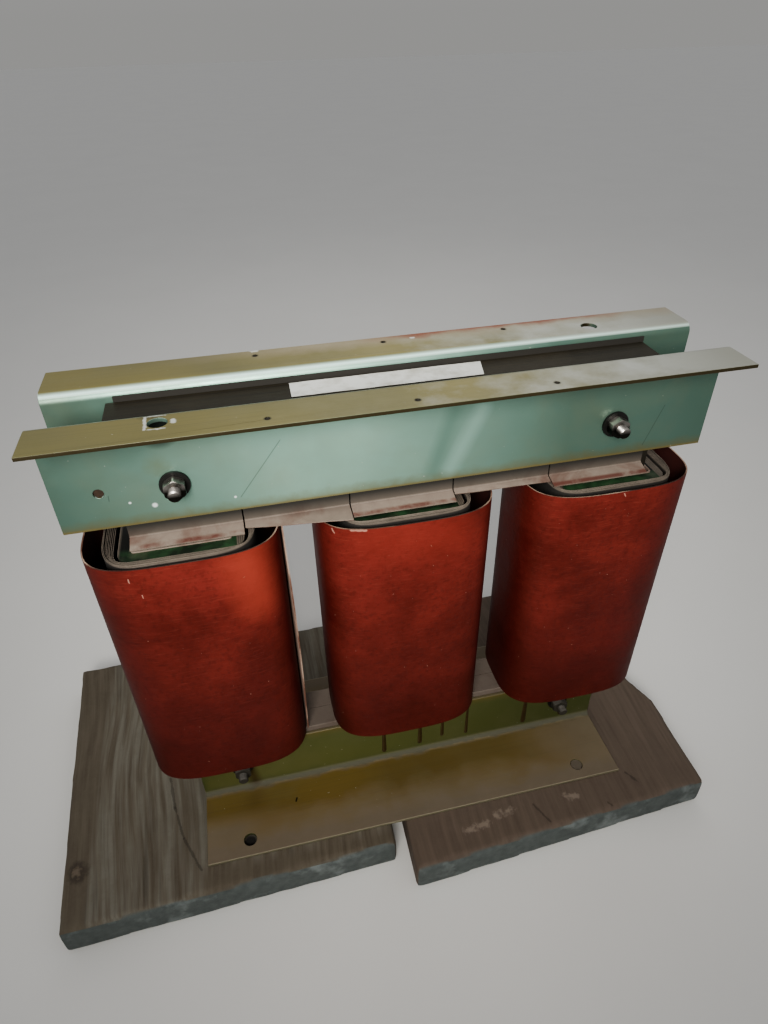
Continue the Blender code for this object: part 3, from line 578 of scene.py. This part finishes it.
# %% Pressboard, paper and green tape
board = Finish("pressboard", 0.82)
FOLD = 0.5159
stain = board.noise(20.0, detail=6.0, distortion=0.5)
board.tone = board.mix(board.noise(60.0), rgb(104, 91, 82), rgb(138, 125, 114))
board.shade(rgb(84, 50, 38), stain, 0.52, 0.70, 0.0, 0.75)
height = board.axis("Z")
seam = board.off(height, FOLD - 0.0042)
seam_share = board.times(board.between(seam, 0.0004, 0.0012, 0.9, 0.0),
                         board.between(board.noise(28.0, detail=6.0), 0.40, 0.56))
board.cover(seam_share, rgb(84, 44, 34))
# Painted shade: the sheets low down are darker, and above the fold the upright part of each sheet, under the
# web, is painted dark as its shadow.
board.shade(rgb(74, 65, 57), height, 0.20, 0.30, 0.75, 0.0)
board.shade(rgb(58, 53, 46), height, FOLD - 0.0010, FOLD + 0.0016, 0.0, 0.75)
board.shade(rgb(34, 31, 26), height, FOLD + 0.0010, FOLD + 0.0120)
board.colour(board.tone)
board.bump(board.noise(500.0), 0.0002, 0.6)
dress(board, "sheet", "former")

paper = Finish("dusty winding paper", 0.85)
paper_tone = paper.noise(70.0, detail=5.0)
paper_pale = paper.mix(paper_tone, rgb(72, 64, 56), rgb(124, 113, 102))
# Painted shade: below their top edges the papers are dark, down in the gaps between them.
paper.colour(paper.tint(paper_pale, rgb(14, 12, 10), paper.axis("Z"), 0.5048, 0.5068, 0.92, 0.0))
dress(paper, "outer_winding")

tape = Finish("green varnished tape", 0.5)
tape_tone = tape.noise(45.0, detail=6.0, distortion=0.4)
tape.tone = tape.tint(rgb(12, 25, 14), rgb(38, 66, 40), tape_tone, 0.36, 0.60)
tape.shade(rgb(78, 74, 62), tape.noise(30.0, detail=5.0), 0.52, 0.72, 0.0, 0.7)
# Painted shade: the tape is dark where it lies next to the leg.
tape.shade(rgb(14, 12, 9), tape.off(tape.axis("Y")), 0.036, 0.045, 1.0, 0.0)

# The ends of the windings show more papers. The place counts from the middle of each coil.
HALF_PITCH = 0.1205
wrap_inputs = {0: tape.axis("X"), 1: HALF_PITCH, 2: -HALF_PITCH}
from_coil = tape.add("Math", wrap_inputs, operation="WRAP").outputs[0]
right_papers = tape.between(from_coil, 0.0545, 0.0555)
paper_end = tape.sum_up("MAXIMUM", right_papers, tape.between(from_coil, -0.0622, -0.0612, 1.0, 0.0))
rings = tape.sum_up("SINE", tape.times(from_coil, 2900.0))
end_papers = tape.mix(tape.noise(90.0), rgb(66, 59, 51), rgb(112, 102, 92))
end_papers = tape.tint(end_papers, rgb(26, 22, 18), rings, 0.3, 0.9, 0.0, 0.8)
tape.cover(paper_end, end_papers)
tape.colour(tape.tone)
dress(tape, "inner_winding")

# %% [markdown]
# The bolts and nuts are bright steel. On those at the top, faces that turn upwards and the half above
# the axis are painted bright as a highlight, and the other faces dark as shade. Those at the bottom are
# dull with dust, so a share by height takes the metal's gloss away.

# %% Bright steel
steel = Finish("bright steel", 0.34, metallic=0.95)
steel_tone = steel.noise(120.0, detail=5.0)
# Painted light: faces turned upwards and the upper half of the top bolts are painted bright, as a highlight,
# and the rest dark, as shade.
painted_light_above_axis = steel.between(steel.axis("Z"), 0.5745, 0.5790, 0.0, 0.8)
painted_top_light = steel.sum_up("MAXIMUM", steel.between(steel.axis("Z", steel.facing), 0.25, 0.60), painted_light_above_axis)
steel_colour = steel.mix(steel_tone, rgb(120, 114, 110), rgb(196, 190, 184))
steel_colour = steel.mix(painted_top_light, rgb(44, 42, 38), steel_colour)
DULL = 0.85
dull = steel.between(steel.axis("Z"), 0.15, 0.25, DULL, 0.0)
steel.colour(steel.mix(dull, steel_colour, steel.mix(steel_tone, rgb(30, 27, 21), rgb(58, 53, 43))))
steel.metal(steel.between(dull, 0.0, DULL, 0.95, 0.2))
steel.rough(steel.between(dull, 0.0, DULL, steel.between(steel_tone, 0.3, 0.7, 0.22, 0.42), 0.75))

black_steel = two_tone("blackened washer", 0.5, 150.0, rgb(14, 14, 13), rgb(34, 33, 30), metallic=0.4)
dress(steel, "bolt", "nut")

# %% [markdown]
# The planks are old and dry. The left one is weathered grey-brown, with pale streaks that follow its
# grain. The right one is still pinkish brown and scuffed. Both are bluish grey on their sawn fronts.
# The grain is noise stretched from front to back and bent by a slower noise, as the growth rings bend.

# %% Planks


def plank_finish(name, dark, light, streak, streak_share, margin):
    """Wood with bent grain along Y, pale streaks and a bluish sawn end."""
    wood = Finish(name, 0.88)
    bend = wood.noise(3.2, detail=1.0, vector=wood.stretched((1.0, 0.7, 1.0)))
    push = wood.add("CombineXYZ", {"X": wood.between(bend, 0.0, 1.0, -0.04, 0.04)})
    bent = wood.vector("ADD", wood.spot, push.outputs["Vector"])
    along = wood.add("Mapping", {"Vector": bent, "Scale": (1.0, 0.05, 1.0)}).outputs["Vector"]
    grain = wood.noise(150.0, vector=along)
    bands = wood.noise(105.0, vector=along)
    blotch = wood.noise(14.0, detail=6.0)
    speckle = wood.noise(260.0)
    wood.tone = wood.tint(dark, light, grain, 0.30, 0.70)
    front_corner = wood.times(wood.between(wood.axis("X"), -0.315, -0.285),
                              wood.between(wood.axis("Y"), -0.150, -0.130, 1.0, 0.0))
    field = wood.sum_up("SUBTRACT", wood.between(wood.axis("X"), margin, margin + 0.006), front_corner)
    wood.cover(wood.times(wood.between(bands, 0.40, 0.62, 0.0, streak_share), field), streak)
    grooves = wood.between(wood.noise(90.0, vector=along, detail=2.0), 0.58, 0.70, 0.0, 0.32)
    wood.cover(wood.times(grooves, field), rgb(34, 29, 22))
    wood.shade(dark, blotch, 0.52, 0.78, 0.0, 0.45)
    wood.shade(light, speckle, 0.50, 0.75, 0.0, 0.35)
    mottle = wood.noise(34.0, detail=7.0, roughness=0.7)
    wood.shade(light, mottle, 0.48, 0.64, 0.0, 0.30)
    wood.grain, wood.bands = grain, bands
    return wood


def finish_plank(wood):
    """Adds the bluish sawn front and the relief of the grain."""
    front = wood.between(wood.axis("Y", wood.facing), -0.8, -0.4, 1.0, 0.0)
    sawn = wood.mix(wood.noise(90.0, detail=6.0), rgb(46, 51, 50), rgb(90, 95, 92))
    patches = wood.between(wood.noise(22.0, detail=5.0), 0.52, 0.66, 0.0, 0.5)
    sawn = wood.mix(patches, sawn, rgb(126, 132, 130))
    wood.colour(wood.mix(front, wood.tone, sawn))
    wood.bump(wood.bands, 0.0016, 0.4)
    wood.bump(wood.grain, 0.0008, 0.7)


PLANK_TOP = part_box("left_board")[1].z
LEFT_CRACKS = (((-0.3439, 0.0083), (-0.3370, -0.0400)), ((-0.3370, -0.0400), (-0.3250, -0.0880)),
               ((-0.3250, -0.0880), (-0.3019, -0.1376)), ((-0.3120, -0.1790), (-0.3050, -0.1750)))
RIGHT_CRACKS = (((0.1522, -0.1544), (0.1649, -0.1830)), ((0.2552, -0.1764), (0.2580, -0.1810)),
                ((0.3020, -0.1400), (0.3120, -0.1580)))
RIGHT_SCUFFS = (((0.096, -0.158), (0.120, -0.155)), ((0.050, -0.168), (0.082, -0.166)),
                ((0.200, -0.154), (0.216, -0.157)))
KNOT = (-0.4600, -0.1030, PLANK_TOP)
left_wood = plank_finish("weathered plank", rgb(72, 63, 51), rgb(90, 82, 69), rgb(112, 109, 99), 0.65,
                         -0.448)
right_wood = plank_finish("scuffed plank", rgb(78, 66, 56), rgb(92, 79, 68), rgb(104, 93, 82), 0.08, 0.0)
for wood, cracks in ((left_wood, LEFT_CRACKS), (right_wood, RIGHT_CRACKS)):
    level_spot = wood.vector("MULTIPLY", wood.spot, (1.0, 1.0, 0.0))
    for start, end in cracks:
        crack = wood.ragged(wood.gap((*start, 0.0), (*end, 0.0), level_spot), 110.0, 0.0014)
        wood.mark(crack, 0.0016, rgb(38, 31, 24), 0.5)
for start, end in RIGHT_SCUFFS:
    scuff = right_wood.gap((*start, PLANK_TOP), (*end, PLANK_TOP))
    pale_scuff = right_wood.between(right_wood.ragged(scuff, 150.0, 0.005), 0.0, 0.006, 0.55, 0.0)
    right_wood.cover(pale_scuff, rgb(134, 121, 108))
knot = left_wood.sum_up("ADD", left_wood.gap(KNOT),
                        left_wood.between(left_wood.noise(70.0), 0.3, 0.7, -0.005, 0.005))
# Painted shade: a nail hole is painted dark, and so is the plank under the open foot hole, in the plate's
# shadow.
painted_shade_nail_hole = left_wood.gap((-0.3655, -0.1870, 0.036))
painted_shadow_under_foot_hole = left_wood.gap((-FOOT_HOLE[0], FOOT_HOLE[1], PLANK_TOP))
for gap, width, colour, share in ((knot, 0.0130, rgb(48, 38, 30), 0.7), (knot, 0.0060, rgb(104, 92, 78), 0.7),
                                  (painted_shade_nail_hole, 0.0024, rgb(12, 10, 8), 1.0),
                                  (painted_shadow_under_foot_hole, 0.0100, rgb(22, 18, 14), 1.0)):
    left_wood.mark(gap, width, colour, share)
finish_plank(left_wood)
finish_plank(right_wood)
print("planks finished, their tops at", round(PLANK_TOP, 4))

# %% [markdown]
# Pieces of their own come next. Some stand in for a plain solid, some are too small for it. These helpers
# select parts of a mesh by a test, and close a piece: modifiers applied, place in the mesh, finish on.

# %% Helpers for pieces
SMOOTH = math.radians(35)


def pick(piece, kind, chosen):
    """Selects the vertices, edges or faces that a test chooses and stays in edit mode."""
    bpy.ops.object.mode_set(mode="EDIT")
    bpy.ops.mesh.select_mode(type=kind)
    bpy.ops.mesh.select_all(action="DESELECT")
    bpy.ops.object.mode_set(mode="OBJECT")
    mesh = piece.data
    for item in {"VERT": mesh.vertices, "EDGE": mesh.edges, "FACE": mesh.polygons}[kind]:
        item.select = chosen(item)
    bpy.ops.object.mode_set(mode="EDIT")


def modifier(piece, kind, **settings):
    """Adds a modifier and applies it."""
    added = piece.modifiers.new(kind.lower(), kind)
    for key, value in settings.items():
        setattr(added, key, value)
    bpy.context.view_layer.objects.active = piece
    bpy.ops.object.modifier_apply(modifier=added.name)


def break_edges(piece, width, **settings):
    """Bevels the sharp edges a little."""
    modifier(piece, "BEVEL", width=width, segments=2, limit_method="ANGLE", **settings)


def close_piece(piece, name, finish=None, replaced=()):
    """Leaves a piece finished at the origin, riding on the transformer."""
    select(piece)
    bpy.ops.object.transform_apply(location=True, rotation=True, scale=True)
    piece.name = name
    if finish:
        piece.data.materials.append(finish.material)
    bpy.ops.object.shade_smooth_by_angle(angle=SMOOTH)
    modifier(piece, "WEIGHTED_NORMAL", keep_sharp=True)
    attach(piece, "root")
    if replaced:
        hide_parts(*replaced)
    triangles = sum(len(face.vertices) - 2 for face in piece.data.polygons)
    print(name, triangles, "triangles")


# %% [markdown]
# With the helpers there, the plates are bevelled and closed.

# %% Broken plate edges
BROKEN_EDGE = 0.0005
for plate_piece, name, finish in PLATES:
    break_edges(plate_piece, BROKEN_EDGE, angle_limit=math.radians(50), use_clamp_overlap=False)
    close_piece(plate_piece, f"{name}_plate", finish, [name])

# %% [markdown]
# Each coil is wound from wire with paper between the layers. At the top, the paper edges stand above the
# wire. On the left coil they fan out at the left end and are pressed together along the front. Each
# paper is a circle whose points are pushed onto a squarish oval, drawn upwards and given a thickness.
# The wire between them is two such walls, bridged at the top and at the bottom.

# %% Winding papers
COIL_PLACES = {"left": (-0.241, -0.0035), "middle": (0.0, 0.0026), "right": (0.241, 0.0)}
COIL_BASE, COIL_TOP = [corner.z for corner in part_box("left_coil_wrap")]
WIRE_TOP = COIL_TOP - 0.005
HOLLOW = (0.1352, 0.1108, 0.22)
OUTSIDE = (0.1634, 0.1390, 0.58)
PAPER_POINTS = 120
PAPER_THICKNESS = 0.0006
PAPER_COUNTS = {"left": 8, "middle": 5, "right": 5}
PAPER_SPREADS = {
    "left": (0.55, 0.50, 0.60, 0.92, 1.00, 0.97, 0.66, 0.34),
    "middle": (0.50, 0.50, 0.50, 0.60, 0.70, 0.42, 0.42, 0.36),
    "right": (0.80, 0.70, 0.60, 0.60, 0.55, 0.34, 0.36, 0.55),
}


def oval(size, angle):
    """A point on a squarish oval: width, depth and how round it is, from 0 to 1."""
    width, depth, roundness = size
    across, along = math.cos(angle), math.sin(angle)
    return Vector((math.copysign(abs(across) ** roundness, across) * width / 2,
                   math.copysign(abs(along) ** roundness, along) * depth / 2))


def spread_at(spreads, angle):
    """The share of the wall that the papers fill at an angle, eased between eight named shares."""
    place = angle / (2 * math.pi) * len(spreads)
    first = int(place) % len(spreads)
    share = place - int(place)
    share = share * share * (3 - 2 * share)
    return spreads[first] * (1 - share) + spreads[(first + 1) % len(spreads)] * share


def wall_line(middle, share_at):
    """A line round a coil, at the share of its wall that a function gives for each angle."""
    angles = [2 * math.pi * step / PAPER_POINTS for step in range(PAPER_POINTS)]
    return [middle + oval(HOLLOW, angle).lerp(oval(OUTSIDE, angle), share_at(angle)) for angle in angles]


def oval_wall(points, base, top):
    """A circle drawn onto a line of points and extruded upwards."""
    deselect()
    bpy.ops.mesh.primitive_circle_add(vertices=len(points), radius=0.1, location=(0, 0, 0))
    piece = bpy.context.object
    for vertex, point in zip(piece.data.vertices, points):
        vertex.co = (point.x, point.y, base)
    bpy.ops.object.mode_set(mode="EDIT")
    bpy.ops.mesh.select_all(action="SELECT")
    bpy.ops.mesh.extrude_region_move(TRANSFORM_OT_translate={"value": (0, 0, top - base)})
    bpy.ops.object.mode_set(mode="OBJECT")
    return piece


def flat_grid(columns, rows):
    """A flat grid, 1 wide and 1 high, to be laid out point by point."""
    deselect()
    bpy.ops.mesh.primitive_grid_add(x_subdivisions=columns, y_subdivisions=rows, size=1.0, location=(0, 0, 0))
    return bpy.context.object


def join(pieces):
    """Joins pieces into the first one."""
    select(*pieces)
    bpy.ops.object.join()
    return pieces[0]


wire = two_tone("dark winding wire", 0.6, 200.0, rgb(22, 16, 12), rgb(48, 34, 26))
random.seed(7)
for side, place in COIL_PLACES.items():
    middle = Vector(place)
    layers = []
    count = PAPER_COUNTS[side]
    for layer in range(count):
        phase = random.uniform(0, 2 * math.pi)

        def paper_share(angle):
            share = spread_at(PAPER_SPREADS[side], angle) * (layer + 0.5) / count
            share += 0.012 * math.sin(3 * angle + phase) + 0.008 * math.sin(7 * angle + 2 * phase)
            return min(max(share, 0.03), 0.97)

        top = COIL_TOP + random.uniform(-0.0008, 0.001)
        paper_wall = oval_wall(wall_line(middle, paper_share), COIL_BASE, top)
        modifier(paper_wall, "SOLIDIFY", thickness=PAPER_THICKNESS, offset=0.0)
        layers.append(paper_wall)
    close_piece(join(layers), f"{side}_winding_papers", paper, [f"{side}_outer_winding"])

    edges = [wall_line(middle, lambda angle: spread_at(PAPER_SPREADS[side], angle) * size_share)
             for size_share in (0.9, 0.02)]
    wires = join([oval_wall(line, COIL_BASE, WIRE_TOP) for line in edges])
    for level in (COIL_BASE, WIRE_TOP):
        pick(wires, "EDGE", lambda edge: all(abs(wires.data.vertices[i].co.z - level) < 1e-5
                                             for i in edge.vertices))
        bpy.ops.mesh.bridge_edge_loops()
    bpy.ops.mesh.select_all(action="SELECT")
    bpy.ops.mesh.normals_make_consistent(inside=False)
    close_piece(wires, f"{side}_winding_wires", wire)

# %% [markdown]
# The planks start as copies of their solids. A voxel remesh gives them an even skin of small faces, and
# every point is then pushed inwards by a little noise: long shallow waves along the grain, and deeper
# nibbles along the front and side edges, where the wood has worn and broken away.

# %% Worn planks
PLANK_SKIN = 0.0045
CRACK_REACH, CRACK_DEPTH = 0.005, 0.0012
CORNER_REACH, CORNER_DEPTH = 0.012, 0.0014
WAVE_DEPTH = 0.0006


def line_gap(spot, start, end):
    """The distance on the plank's top from a spot to the line between two places."""
    run = Vector(end) - Vector(start)
    offset = Vector((spot.x, spot.y)) - Vector(start)
    share = min(max(offset.dot(run) / run.length_squared, 0.0), 1.0)
    return (offset - run * share).length


BOARDS = (("left_board", left_wood, LEFT_CRACKS), ("right_board", right_wood, RIGHT_CRACKS))
for name, wood, cracks in BOARDS:
    plank = whole_copy(name)
    modifier(plank, "REMESH", mode="VOXEL", voxel_size=PLANK_SKIN)
    worn = []
    for vertex in plank.data.vertices:
        spot, normal = vertex.co, vertex.normal
        wave = noise.noise(Vector((spot.x * 55, spot.y * 4, spot.z * 30)))
        nibble = noise.noise(Vector((spot.x * 28, spot.y * 28, spot.z * 12 + 5)))
        corner = max(0.0, 1 - abs(spot.z - PLANK_TOP) / CORNER_REACH) * (1 if abs(normal.z) < 0.97 else 0)
        nearest = min(line_gap(spot, *crack) for crack in cracks)
        split = max(0.0, 1 - nearest / CRACK_REACH) if spot.z > PLANK_TOP - 0.010 else 0.0
        depth = WAVE_DEPTH * (1 + wave) + CORNER_DEPTH * corner * (1 + nibble) + CRACK_DEPTH * split
        moved = spot - normal * depth
        moved.z = min(max(moved.z, 0.0), PLANK_TOP)
        worn.append(moved)
    for vertex, moved in zip(plank.data.vertices, worn):
        vertex.co = moved
    modifier(plank, "SMOOTH", factor=0.5, iterations=2)
    close_piece(plank, f"{name}_plank", wood, [name])

# %% [markdown]
# Each wrap is one stiff sheet, rolled once round the coil until it laps over itself. It starts as a flat
# grid, because that is how the sheet was cut. Its columns are then rolled onto the oval, and slow waves
# dent it as on any thin board. On the left coil the free edge comes round from behind, stands off at the
# right and shows its bare cut. The other two have their laps at the back.

# %% Rolled wraps
WRAP_SIZE = (0.2014, 0.1428, 0.58)
WRAP_SHEET = 0.0016
WRAP_COLUMNS = 200
WRAP_ROWS = 24
LAP = math.radians(34)
CLIMB = math.radians(26)
LIFT = math.radians(20)
CURL = math.radians(8)
SEAMS = {"left": math.radians(-11), "middle": math.radians(96), "right": math.radians(84)}
LAP_GAP = 0.0004
STAND_OFF, BELLY = 0.0018, 0.0026
DENT = 0.0009


def oval_outwards(size, angle):
    """The direction that points out of a squarish oval."""
    width, depth, roundness = size
    across, along = math.cos(angle), math.sin(angle)
    return Vector((math.copysign(abs(across) ** (2 - roundness), across) / width,
                   math.copysign(abs(along) ** (2 - roundness), along) / depth)).normalized()


def eased(value):
    """Holds a value between 0 and 1 and eases its start and end."""
    value = min(max(value, 0.0), 1.0)
    return value * value * (3 - 2 * value)


def rolled(flat_share, height_share, seam, dents):
    """Where a point of the flat sheet comes to lie on the coil. The free edge has the share 0."""
    angle = seam + (2 * math.pi + LAP) * flat_share
    turned = angle - seam
    outside = eased(1 - (turned - LAP) / CLIMB)
    free = 0.4 * max(0.0, 1 - turned / LIFT) ** 2 + 0.6 * max(0.0, 1 - turned / CURL) ** 2
    belly = math.sin(math.pi * height_share)
    stand_off = outside * (WRAP_SHEET + LAP_GAP) + free * (STAND_OFF + BELLY * belly)
    stand_off += DENT * (0.5 + 0.5 * math.sin(2 * angle + dents + 3 * height_share)) * height_share
    spot = oval(WRAP_SIZE, angle) + oval_outwards(WRAP_SIZE, angle) * stand_off
    return Vector((spot.x, spot.y, 0))


for side, place in COIL_PLACES.items():
    sheet = flat_grid(WRAP_COLUMNS, WRAP_ROWS)
    height = COIL_TOP - COIL_BASE
    for finish in (wrap, inside, bare):
        sheet.data.materials.append(finish.material)
    for vertex in sheet.data.vertices:
        flat_share, height_share = vertex.co.x + 0.5, vertex.co.y + 0.5
        spot = rolled(flat_share, height_share, SEAMS[side], len(side))
        vertex.co = spot + Vector((place[0], place[1], COIL_BASE + height * height_share))
    modifier(sheet, "SOLIDIFY", thickness=WRAP_SHEET, offset=-1.0, material_offset=1, material_offset_rim=2)
    close_piece(sheet, f"{side}_rolled_wrap", replaced=[f"{side}_coil_wrap"])

# %% [markdown]
# The tie bolts are modelled once and copied. A washer, a six-sided nut with turned corners and the
# threaded end of the stud are cut as a lathe and a mill would: the nut is a six-sided prism that a
# rounded drum trims, and the thread is a drum whose rings are drawn in and out.

# %% Tie bolts
RIGHT_ANGLE = math.radians(90)
BOLT_X = 0.235
WASHER_RADIUS = 0.015
BOLT_HEIGHTS = {level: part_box(f"{level}_nut_left")[0].z + WASHER_RADIUS for level in ("top", "bottom")}
SEAT = -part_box("top_nut_left")[1].y
WASHER = 0.003
NUT = 0.011
NUT_RADIUS = 0.0118
NUT_CORNER = 0.0018
WASHER_EDGE = 0.0004
STUD_END = 0.010
STUD_RADIUS = 0.0064
PITCH = 0.002
THREAD_ROOT = 0.86
CHAMFER = 0.80
OVERLAP = 0.001


def drum_along_y(radius, start, end, sides, finish):
    """A drum along Y between two places."""
    deselect()
    bpy.ops.mesh.primitive_cylinder_add(vertices=sides, radius=radius, depth=abs(end - start),
                                        location=(0, (start + end) / 2, 0), rotation=(RIGHT_ANGLE, 0, 0))
    drum = bpy.context.object
    drum.data.materials.append(finish.material)
    return drum


def turned_nut(start, end):
    """A hexagon whose corners are rounded off by a drum."""
    nut = drum_along_y(NUT_RADIUS, start, end, 6, steel)
    drum = drum_along_y(NUT_RADIUS, start, end, 48, steel)
    break_edges(drum, NUT_CORNER)
    modifier(nut, "BOOLEAN", object=drum, operation="INTERSECT", solver="EXACT")
    bpy.data.objects.remove(drum)
    return nut


def washer_at(start, end):
    """A black washer with broken edges."""
    washer = drum_along_y(WASHER_RADIUS, start, end, 48, black_steel)
    break_edges(washer, WASHER_EDGE)
    return washer


def threaded_end(start, end):
    """A stud end whose rings go in and out like the turns of a thread."""
    deselect()
    bpy.ops.mesh.primitive_circle_add(vertices=32, radius=STUD_RADIUS, fill_type="NGON",
                                      location=(0, start, 0), rotation=(RIGHT_ANGLE, 0, 0))
    stud = bpy.context.object
    stud.data.materials.append(steel.material)
    steps = int(abs(end - start) / PITCH * 2)
    stride = (end - start) / steps
    bpy.ops.object.mode_set(mode="EDIT")
    bpy.ops.mesh.select_all(action="SELECT")
    for step in range(steps):
        bpy.ops.mesh.extrude_region_move(TRANSFORM_OT_translate={"value": (0, stride, 0)})
        factor = THREAD_ROOT if step % 2 == 0 else 1 / THREAD_ROOT
        if step == steps - 1:
            factor = CHAMFER
        middle = (0, start + stride * (step + 1), 0)
        bpy.ops.transform.resize(value=(factor, 1, factor), center_override=middle)
    bpy.ops.mesh.select_all(action="SELECT")
    bpy.ops.mesh.normals_make_consistent(inside=False)
    bpy.ops.object.mode_set(mode="OBJECT")
    return stud


def copied(piece, offset):
    """A copy with a mesh of its own, moved by an offset."""
    twin = piece.copy()
    twin.data = piece.data.copy()
    bpy.context.scene.collection.objects.link(twin)
    twin.location = piece.location + Vector(offset)
    return twin


rear_face = SEAT + WASHER
nut_end = -rear_face - NUT
nut_model = join([turned_nut(-rear_face, nut_end), washer_at(-SEAT, -rear_face)])
shank = drum_along_y(STUD_RADIUS - 0.0001, rear_face, nut_end + OVERLAP, 32, steel)
bolt_model = join([threaded_end(nut_end + OVERLAP, nut_end - STUD_END), shank, washer_at(SEAT, rear_face),
                   turned_nut(rear_face, rear_face + NUT)])
print("one nut and one bolt modelled")
for level, height in BOLT_HEIGHTS.items():
    for end, x in (("left", -BOLT_X), ("right", BOLT_X)):
        for model, kind, solid in ((nut_model, "lock_nut", "nut"), (bolt_model, "tie_bolt", "bolt")):
            close_piece(copied(model, (x, 0, height)), f"{level}_{kind}_{end}",
                        replaced=[f"{level}_{solid}_{end}"])
for model in (nut_model, bolt_model):
    bpy.data.objects.remove(model)

# %% [markdown]
# A bare paper label is stuck on the top yoke. It starts as a grid, because only a fine mesh can lift a
# little at its edges and stay flat in the middle.

# %% Label
white_paper = Finish("bare paper label", 0.7)
soiled = white_paper.noise(60.0, detail=6.0)
white_paper.colour(white_paper.tint(rgb(205, 205, 200), rgb(176, 174, 164), soiled, 0.45, 0.7))
YOKE_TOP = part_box("top_yoke")[1].z
LABEL_CORNERS = ((-0.111, -0.007), (0.089, -0.007), (0.096, 0.0245), (-0.110, 0.0245))
LABEL_COLUMNS, LABEL_ROWS = 36, 10
LABEL_LIFT = 0.0006
LABEL_THICKNESS = 0.00015

label = flat_grid(LABEL_COLUMNS, LABEL_ROWS)
front_left, front_right, back_right, back_left = [Vector(corner) for corner in LABEL_CORNERS]
for vertex in label.data.vertices:
    across, along = vertex.co.x + 0.5, vertex.co.y + 0.5
    spot = front_left.lerp(front_right, across).lerp(back_left.lerp(back_right, across), along)
    edge = max(abs(2 * across - 1), abs(2 * along - 1)) ** 6
    rise = LABEL_LIFT * (0.25 + edge * (0.6 + 0.4 * noise.noise(Vector((spot.x * 60, spot.y * 60, 1)))))
    vertex.co = (spot.x, spot.y, YOKE_TOP + 0.0002 + rise)
modifier(label, "SOLIDIFY", thickness=LABEL_THICKNESS, offset=1.0)
close_piece(label, "yoke_label", white_paper)

# %% [markdown]
# The tapped holes, the earth holes in the webs and the right foot hole are stopped with dirt. One plug is
# made for each size and copied: a drum whose top is drawn in and pushed down, so that a dark ring shows
# round the dirt, or for the webs a drum with broken edges.

# %% Plugs of dirt
dirt = two_tone("packed dirt", 0.9, 260.0, rgb(16, 14, 11), rgb(44, 38, 30))
earth_rust = two_tone("rusty dirt", 0.9, 300.0, rgb(22, 17, 12), rgb(60, 42, 26))
dust_plug = two_tone("dust in the foot hole", 0.9, 160.0, rgb(72, 64, 54), rgb(100, 90, 77), detail=5.0)
TAPPED_RADIUS, TAPPED_DEPTH = 0.0026, 0.0038
EARTH_RADIUS, EARTH_HALF, EARTH_EDGE = 0.0049, 0.0011, 0.0006
DUST_RADIUS, DUST_LOW, DUST_HIGH = 0.0079, 0.0484, 0.0519
SUNK = 0.0006


def plug_at(x, y, radius, low, high, finish):
    """A plug whose top is sunk inside a rim."""
    deselect()
    bpy.ops.mesh.primitive_cylinder_add(vertices=24, radius=radius, depth=high - low,
                                        location=(x, y, (low + high) / 2))
    plug = bpy.context.object
    plug.data.materials.append(finish.material)
    pick(plug, "FACE", lambda face: face.normal.z > 0.9)
    bpy.ops.mesh.inset(thickness=radius * 0.22)
    bpy.ops.transform.translate(value=(0, 0, -SUNK))
    bpy.ops.object.mode_set(mode="OBJECT")
    return plug


tapped_model = plug_at(0, 0, TAPPED_RADIUS, FLANGE_TOP - TAPPED_DEPTH, FLANGE_TOP - SUNK, dirt)
close_piece(join([copied(tapped_model, (*place, 0)) for place in TAPPED_PLACES]), "tapped_hole_dirt")
earth_model = drum_along_y(EARTH_RADIUS, -EARTH_HALF, EARTH_HALF, 24, earth_rust)
break_edges(earth_model, EARTH_EDGE)
EARTH_DEPTH = WEB_FACE + 0.0025
earth_dirt = [copied(earth_model, (-side * earth_x, -side * EARTH_DEPTH, earth_z)) for side in (-1, 1)]
close_piece(join(earth_dirt), "earth_hole_dirt")
close_piece(plug_at(*FOOT_HOLE, DUST_RADIUS, DUST_LOW, DUST_HIGH, dust_plug), "foot_hole_dust")
for model in (tapped_model, earth_model):
    bpy.data.objects.remove(model)

# %% [markdown]
# Brown varnish has run down the upright side of the foot plate and set. Each run is a ball cut in half by
# the plate. Its upper half is drawn up to the edge of the plate and made narrow, which leaves a heavy drop
# at the foot.

# %% Varnish runs
tear_varnish = two_tone("set varnish", 0.3, 90.0, rgb(26, 19, 9), rgb(54, 40, 19))
WEB_TOP = 0.1430
DROP = 1.6
FILM = 0.0010
RUNS = ((-0.033, 0.080, 0.0034), (0.021, 0.077, 0.0034), (0.055, 0.070, 0.0027),
        (0.0925, 0.076, 0.0026), (0.184, 0.080, 0.0040), (0.245, 0.080, 0.0040))
runs = []

# Each run: its place along the plate, how far it reaches down from the edge, and its half width.
for x, reach, width in RUNS:
    deselect()
    bpy.ops.mesh.primitive_uv_sphere_add(segments=20, ring_count=14, radius=1.0, location=(0, 0, 0))
    run = bpy.context.object
    run.data.materials.append(tear_varnish.material)
    pick(run, "VERT", lambda vertex: vertex.co.z > 0.05)
    bpy.ops.transform.resize(value=(0.55, 0.7, 1.0), center_override=(0, 0, 0))
    bpy.ops.transform.translate(value=(0, 0, reach / width / DROP - 2.2))
    bpy.ops.mesh.select_all(action="SELECT")
    bpy.ops.mesh.bisect(plane_co=(0, 0, 0), plane_no=(0, 1, 0), clear_outer=True, use_fill=True)
    bpy.ops.object.mode_set(mode="OBJECT")
    run.scale = (width, FILM, width * DROP)
    run.location = (x, WEB_FACE + 0.00005, WEB_TOP - reach + DROP * width)
    runs.append(run)
print(len(runs), "runs")
close_piece(join(runs), "varnish_tears")
